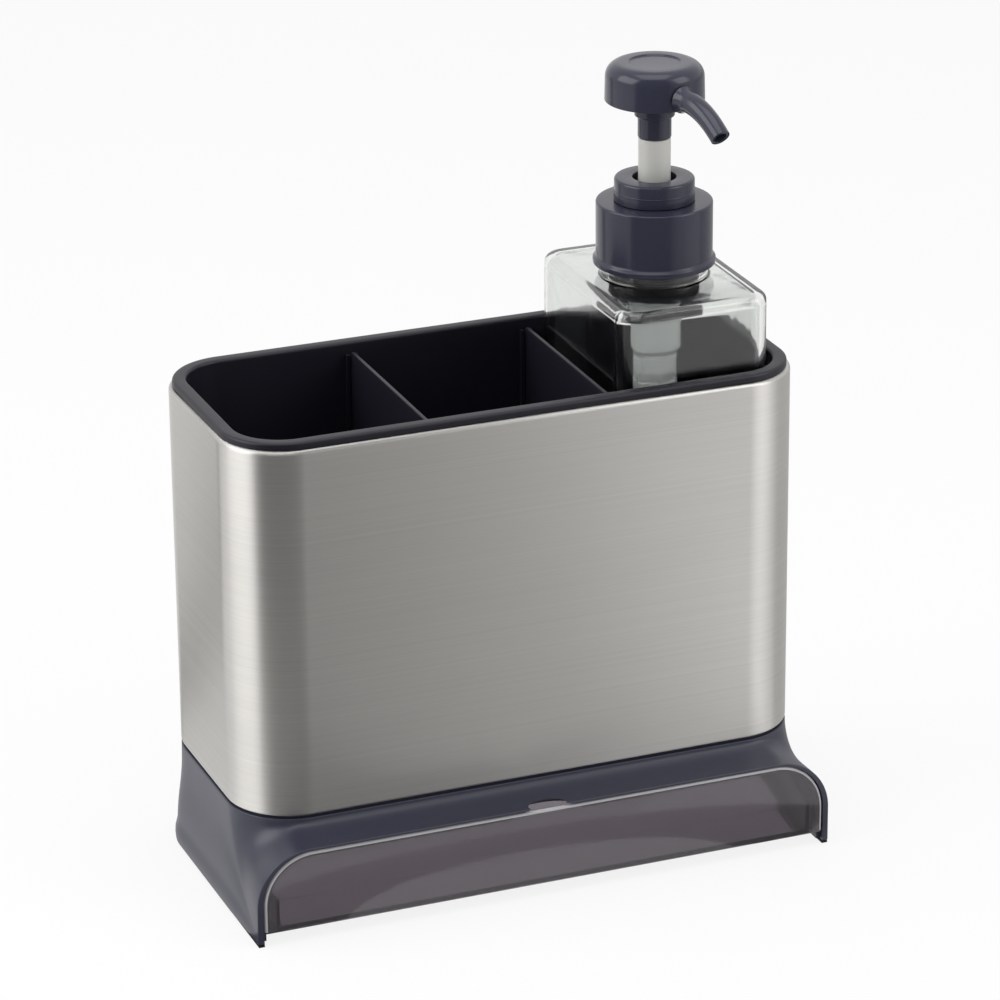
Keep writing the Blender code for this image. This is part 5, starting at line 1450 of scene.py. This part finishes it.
class ORGANIZER_OT_stage(bpy.types.Operator):
    """Make the camera, the floor, the white surroundings and the lamps"""

    bl_idname = "organizer.stage"
    bl_label = "Stage"

    def execute(self, context):
        self.camera(context.scene)
        self.floor(context.scene)
        self.surroundings(context.scene)
        for lamp in LAMPS:
            self.lamp(*lamp)
        for card in CARDS:
            self.card(*card)
        context.scene.view_settings.view_transform = "Standard"
        return {"FINISHED"}

    def turn(self, azimuth, elevation):
        """The turn of a camera or lamp that looks at the object from a direction."""
        return Matrix.Rotation(azimuth, 4, "Z") @ Matrix.Rotation(QUARTER - elevation, 4, "X")

    def camera(self, scene):
        """A long lens at the photograph's angle."""
        lens = bpy.data.cameras.new("camera")
        lens.lens = CAMERA_LENS
        lens.sensor_width = CAMERA_SENSOR
        scene.camera = placed("camera", lens)
        turn = self.turn(CAMERA_AZIMUTH, CAMERA_ELEVATION) @ Matrix.Rotation(CAMERA_ROLL, 4, "Z")
        scene.camera.matrix_world = Matrix.Translation(CAMERA_PLACE) @ turn

    def seen_rays(self, tree):
        """A mask of the rays that show the background: seen, mirrored or let through."""
        path = add_node(tree, "ShaderNodeLightPath").outputs
        first = maths(tree, "MAXIMUM", path["Is Camera Ray"], path["Is Glossy Ray"])
        return maths(tree, "MAXIMUM", first, path["Is Transmission Ray"])

    def floor(self, scene):
        """A wide pale floor that keeps a faint shadow of the object."""
        verts = [(side_x * FLOOR_REACH, side_y * FLOOR_REACH, 0)
                 for side_x, side_y in ((-1, -1), (1, -1), (1, 1), (-1, 1))]
        floor = new_piece("floor", verts, [(0, 1, 2, 3)])
        floor.location.z = -FLOOR_GAP
        plain = {"Base Color": (*scene.organizer_colours.floor, 1), "Roughness": FLOOR_ROUGHNESS}
        made, tree, shader = new_material("floor", 0.0, plain)
        glow = add_node(tree, "ShaderNodeEmission", None, {"Color": (1, 1, 1, 1), "Strength": 1.0})
        share = maths(tree, "MULTIPLY", self.seen_rays(tree), FLOOR_GLOW_SHARE)
        mix = add_node(tree, "ShaderNodeMixShader", None,
                       {0: share, 1: shader.outputs[0], 2: glow.outputs[0]})
        tree.links.new(mix.outputs[0], tree.nodes["Material Output"].inputs["Surface"])
        floor.data.materials.append(made)

    def surroundings(self, scene):
        """White where it is seen, and a soft grey where it lights the object."""
        world = bpy.data.worlds.new("surroundings")
        world.use_nodes = True
        tree = world.node_tree
        colour = add_node(tree, "ShaderNodeMix", {"data_type": "RGBA"}, {
            "Factor": self.seen_rays(tree),
            "A": (AMBIENT, AMBIENT, AMBIENT, 1),
            "B": (1, 1, 1, 1),
        }).outputs["Result"]
        wire_up(tree, tree.nodes["Background"], {"Color": colour, "Strength": 1.0})
        scene.world = world

    def lamp(self, name, azimuth, elevation, distance, size, power):
        """A softbox that faces the object from a direction given in degrees."""
        lamp = bpy.data.lights.new(name, "AREA")
        lamp.shape = "RECTANGLE"
        lamp.size, lamp.size_y = size
        lamp.energy = power
        away = self.turn(radians(azimuth), radians(elevation)) @ Matrix.Translation((0, 0, distance))
        placed(name, lamp).matrix_world = Matrix.Translation(LAMP_TARGET) @ away

    def card(self, name, start, end, profile, grey):
        """A grey studio card, along the floor and up behind it, that only shows mirrored."""
        rows = len(profile)
        verts, faces = [], []
        for step in range(CARD_STEPS + 1):
            angle = radians(start + (end - start) * step / CARD_STEPS)
            verts += [(reach * sin(angle), -reach * cos(angle), z) for reach, z in profile]
        for low in range(CARD_STEPS * rows):
            if (low + 1) % rows:
                faces.append((low, low + rows, low + rows + 1, low + 1))
        card = new_piece(name, verts, faces)
        plain = {
            "Base Color": (0, 0, 0, 1),
            "Emission Color": (grey, grey, grey, 1),
            "Emission Strength": 1.0,
        }
        card.data.materials.append(new_material(name, 0.0, plain)[0])
        card.visible_camera = card.visible_diffuse = card.visible_transmission = False
        card.visible_shadow = False


PIECE_OPERATORS = (
    ORGANIZER_OT_base,
    ORGANIZER_OT_drip_tray,
    ORGANIZER_OT_steel_sleeve,
    ORGANIZER_OT_liner,
    ORGANIZER_OT_dividers,
    ORGANIZER_OT_bottle,
    ORGANIZER_OT_closure,
    ORGANIZER_OT_housing,
    ORGANIZER_OT_plunger,
    ORGANIZER_OT_head,
    ORGANIZER_OT_stage,
)


class ORGANIZER_PT_panel(bpy.types.Panel):
    """Lists the sizes, the colours and the pieces."""

    bl_label = "Sink Organizer"
    bl_idname = "ORGANIZER_PT_panel"
    bl_space_type = "VIEW_3D"
    bl_region_type = "UI"
    bl_category = "Organizer"

    def draw(self, context):
        for settings in (context.scene.organizer_sizes, context.scene.organizer_colours):
            column = self.layout.column()
            for label in settings.__annotations__:
                column.prop(settings, label)
        column = self.layout.column()
        for operator in PIECE_OPERATORS:
            column.operator(operator.bl_idname)


CLASSES = (OrganizerSizes, OrganizerColours, *PIECE_OPERATORS, ORGANIZER_PT_panel)


def register():
    """Register the classes and the scene's settings."""
    for item in CLASSES:
        bpy.utils.register_class(item)
    bpy.types.Scene.organizer_sizes = bpy.props.PointerProperty(type=OrganizerSizes)
    bpy.types.Scene.organizer_colours = bpy.props.PointerProperty(type=OrganizerColours)


def unregister():
    """Take the settings and the classes away again."""
    del bpy.types.Scene.organizer_colours
    del bpy.types.Scene.organizer_sizes
    for item in reversed(CLASSES):
        bpy.utils.unregister_class(item)


def main():
    """Make every piece in order."""
    register()
    for operator in PIECE_OPERATORS:
        family, name = operator.bl_idname.split(".")
        getattr(getattr(bpy.ops, family), name)()


if __name__ == "__main__":
    main()
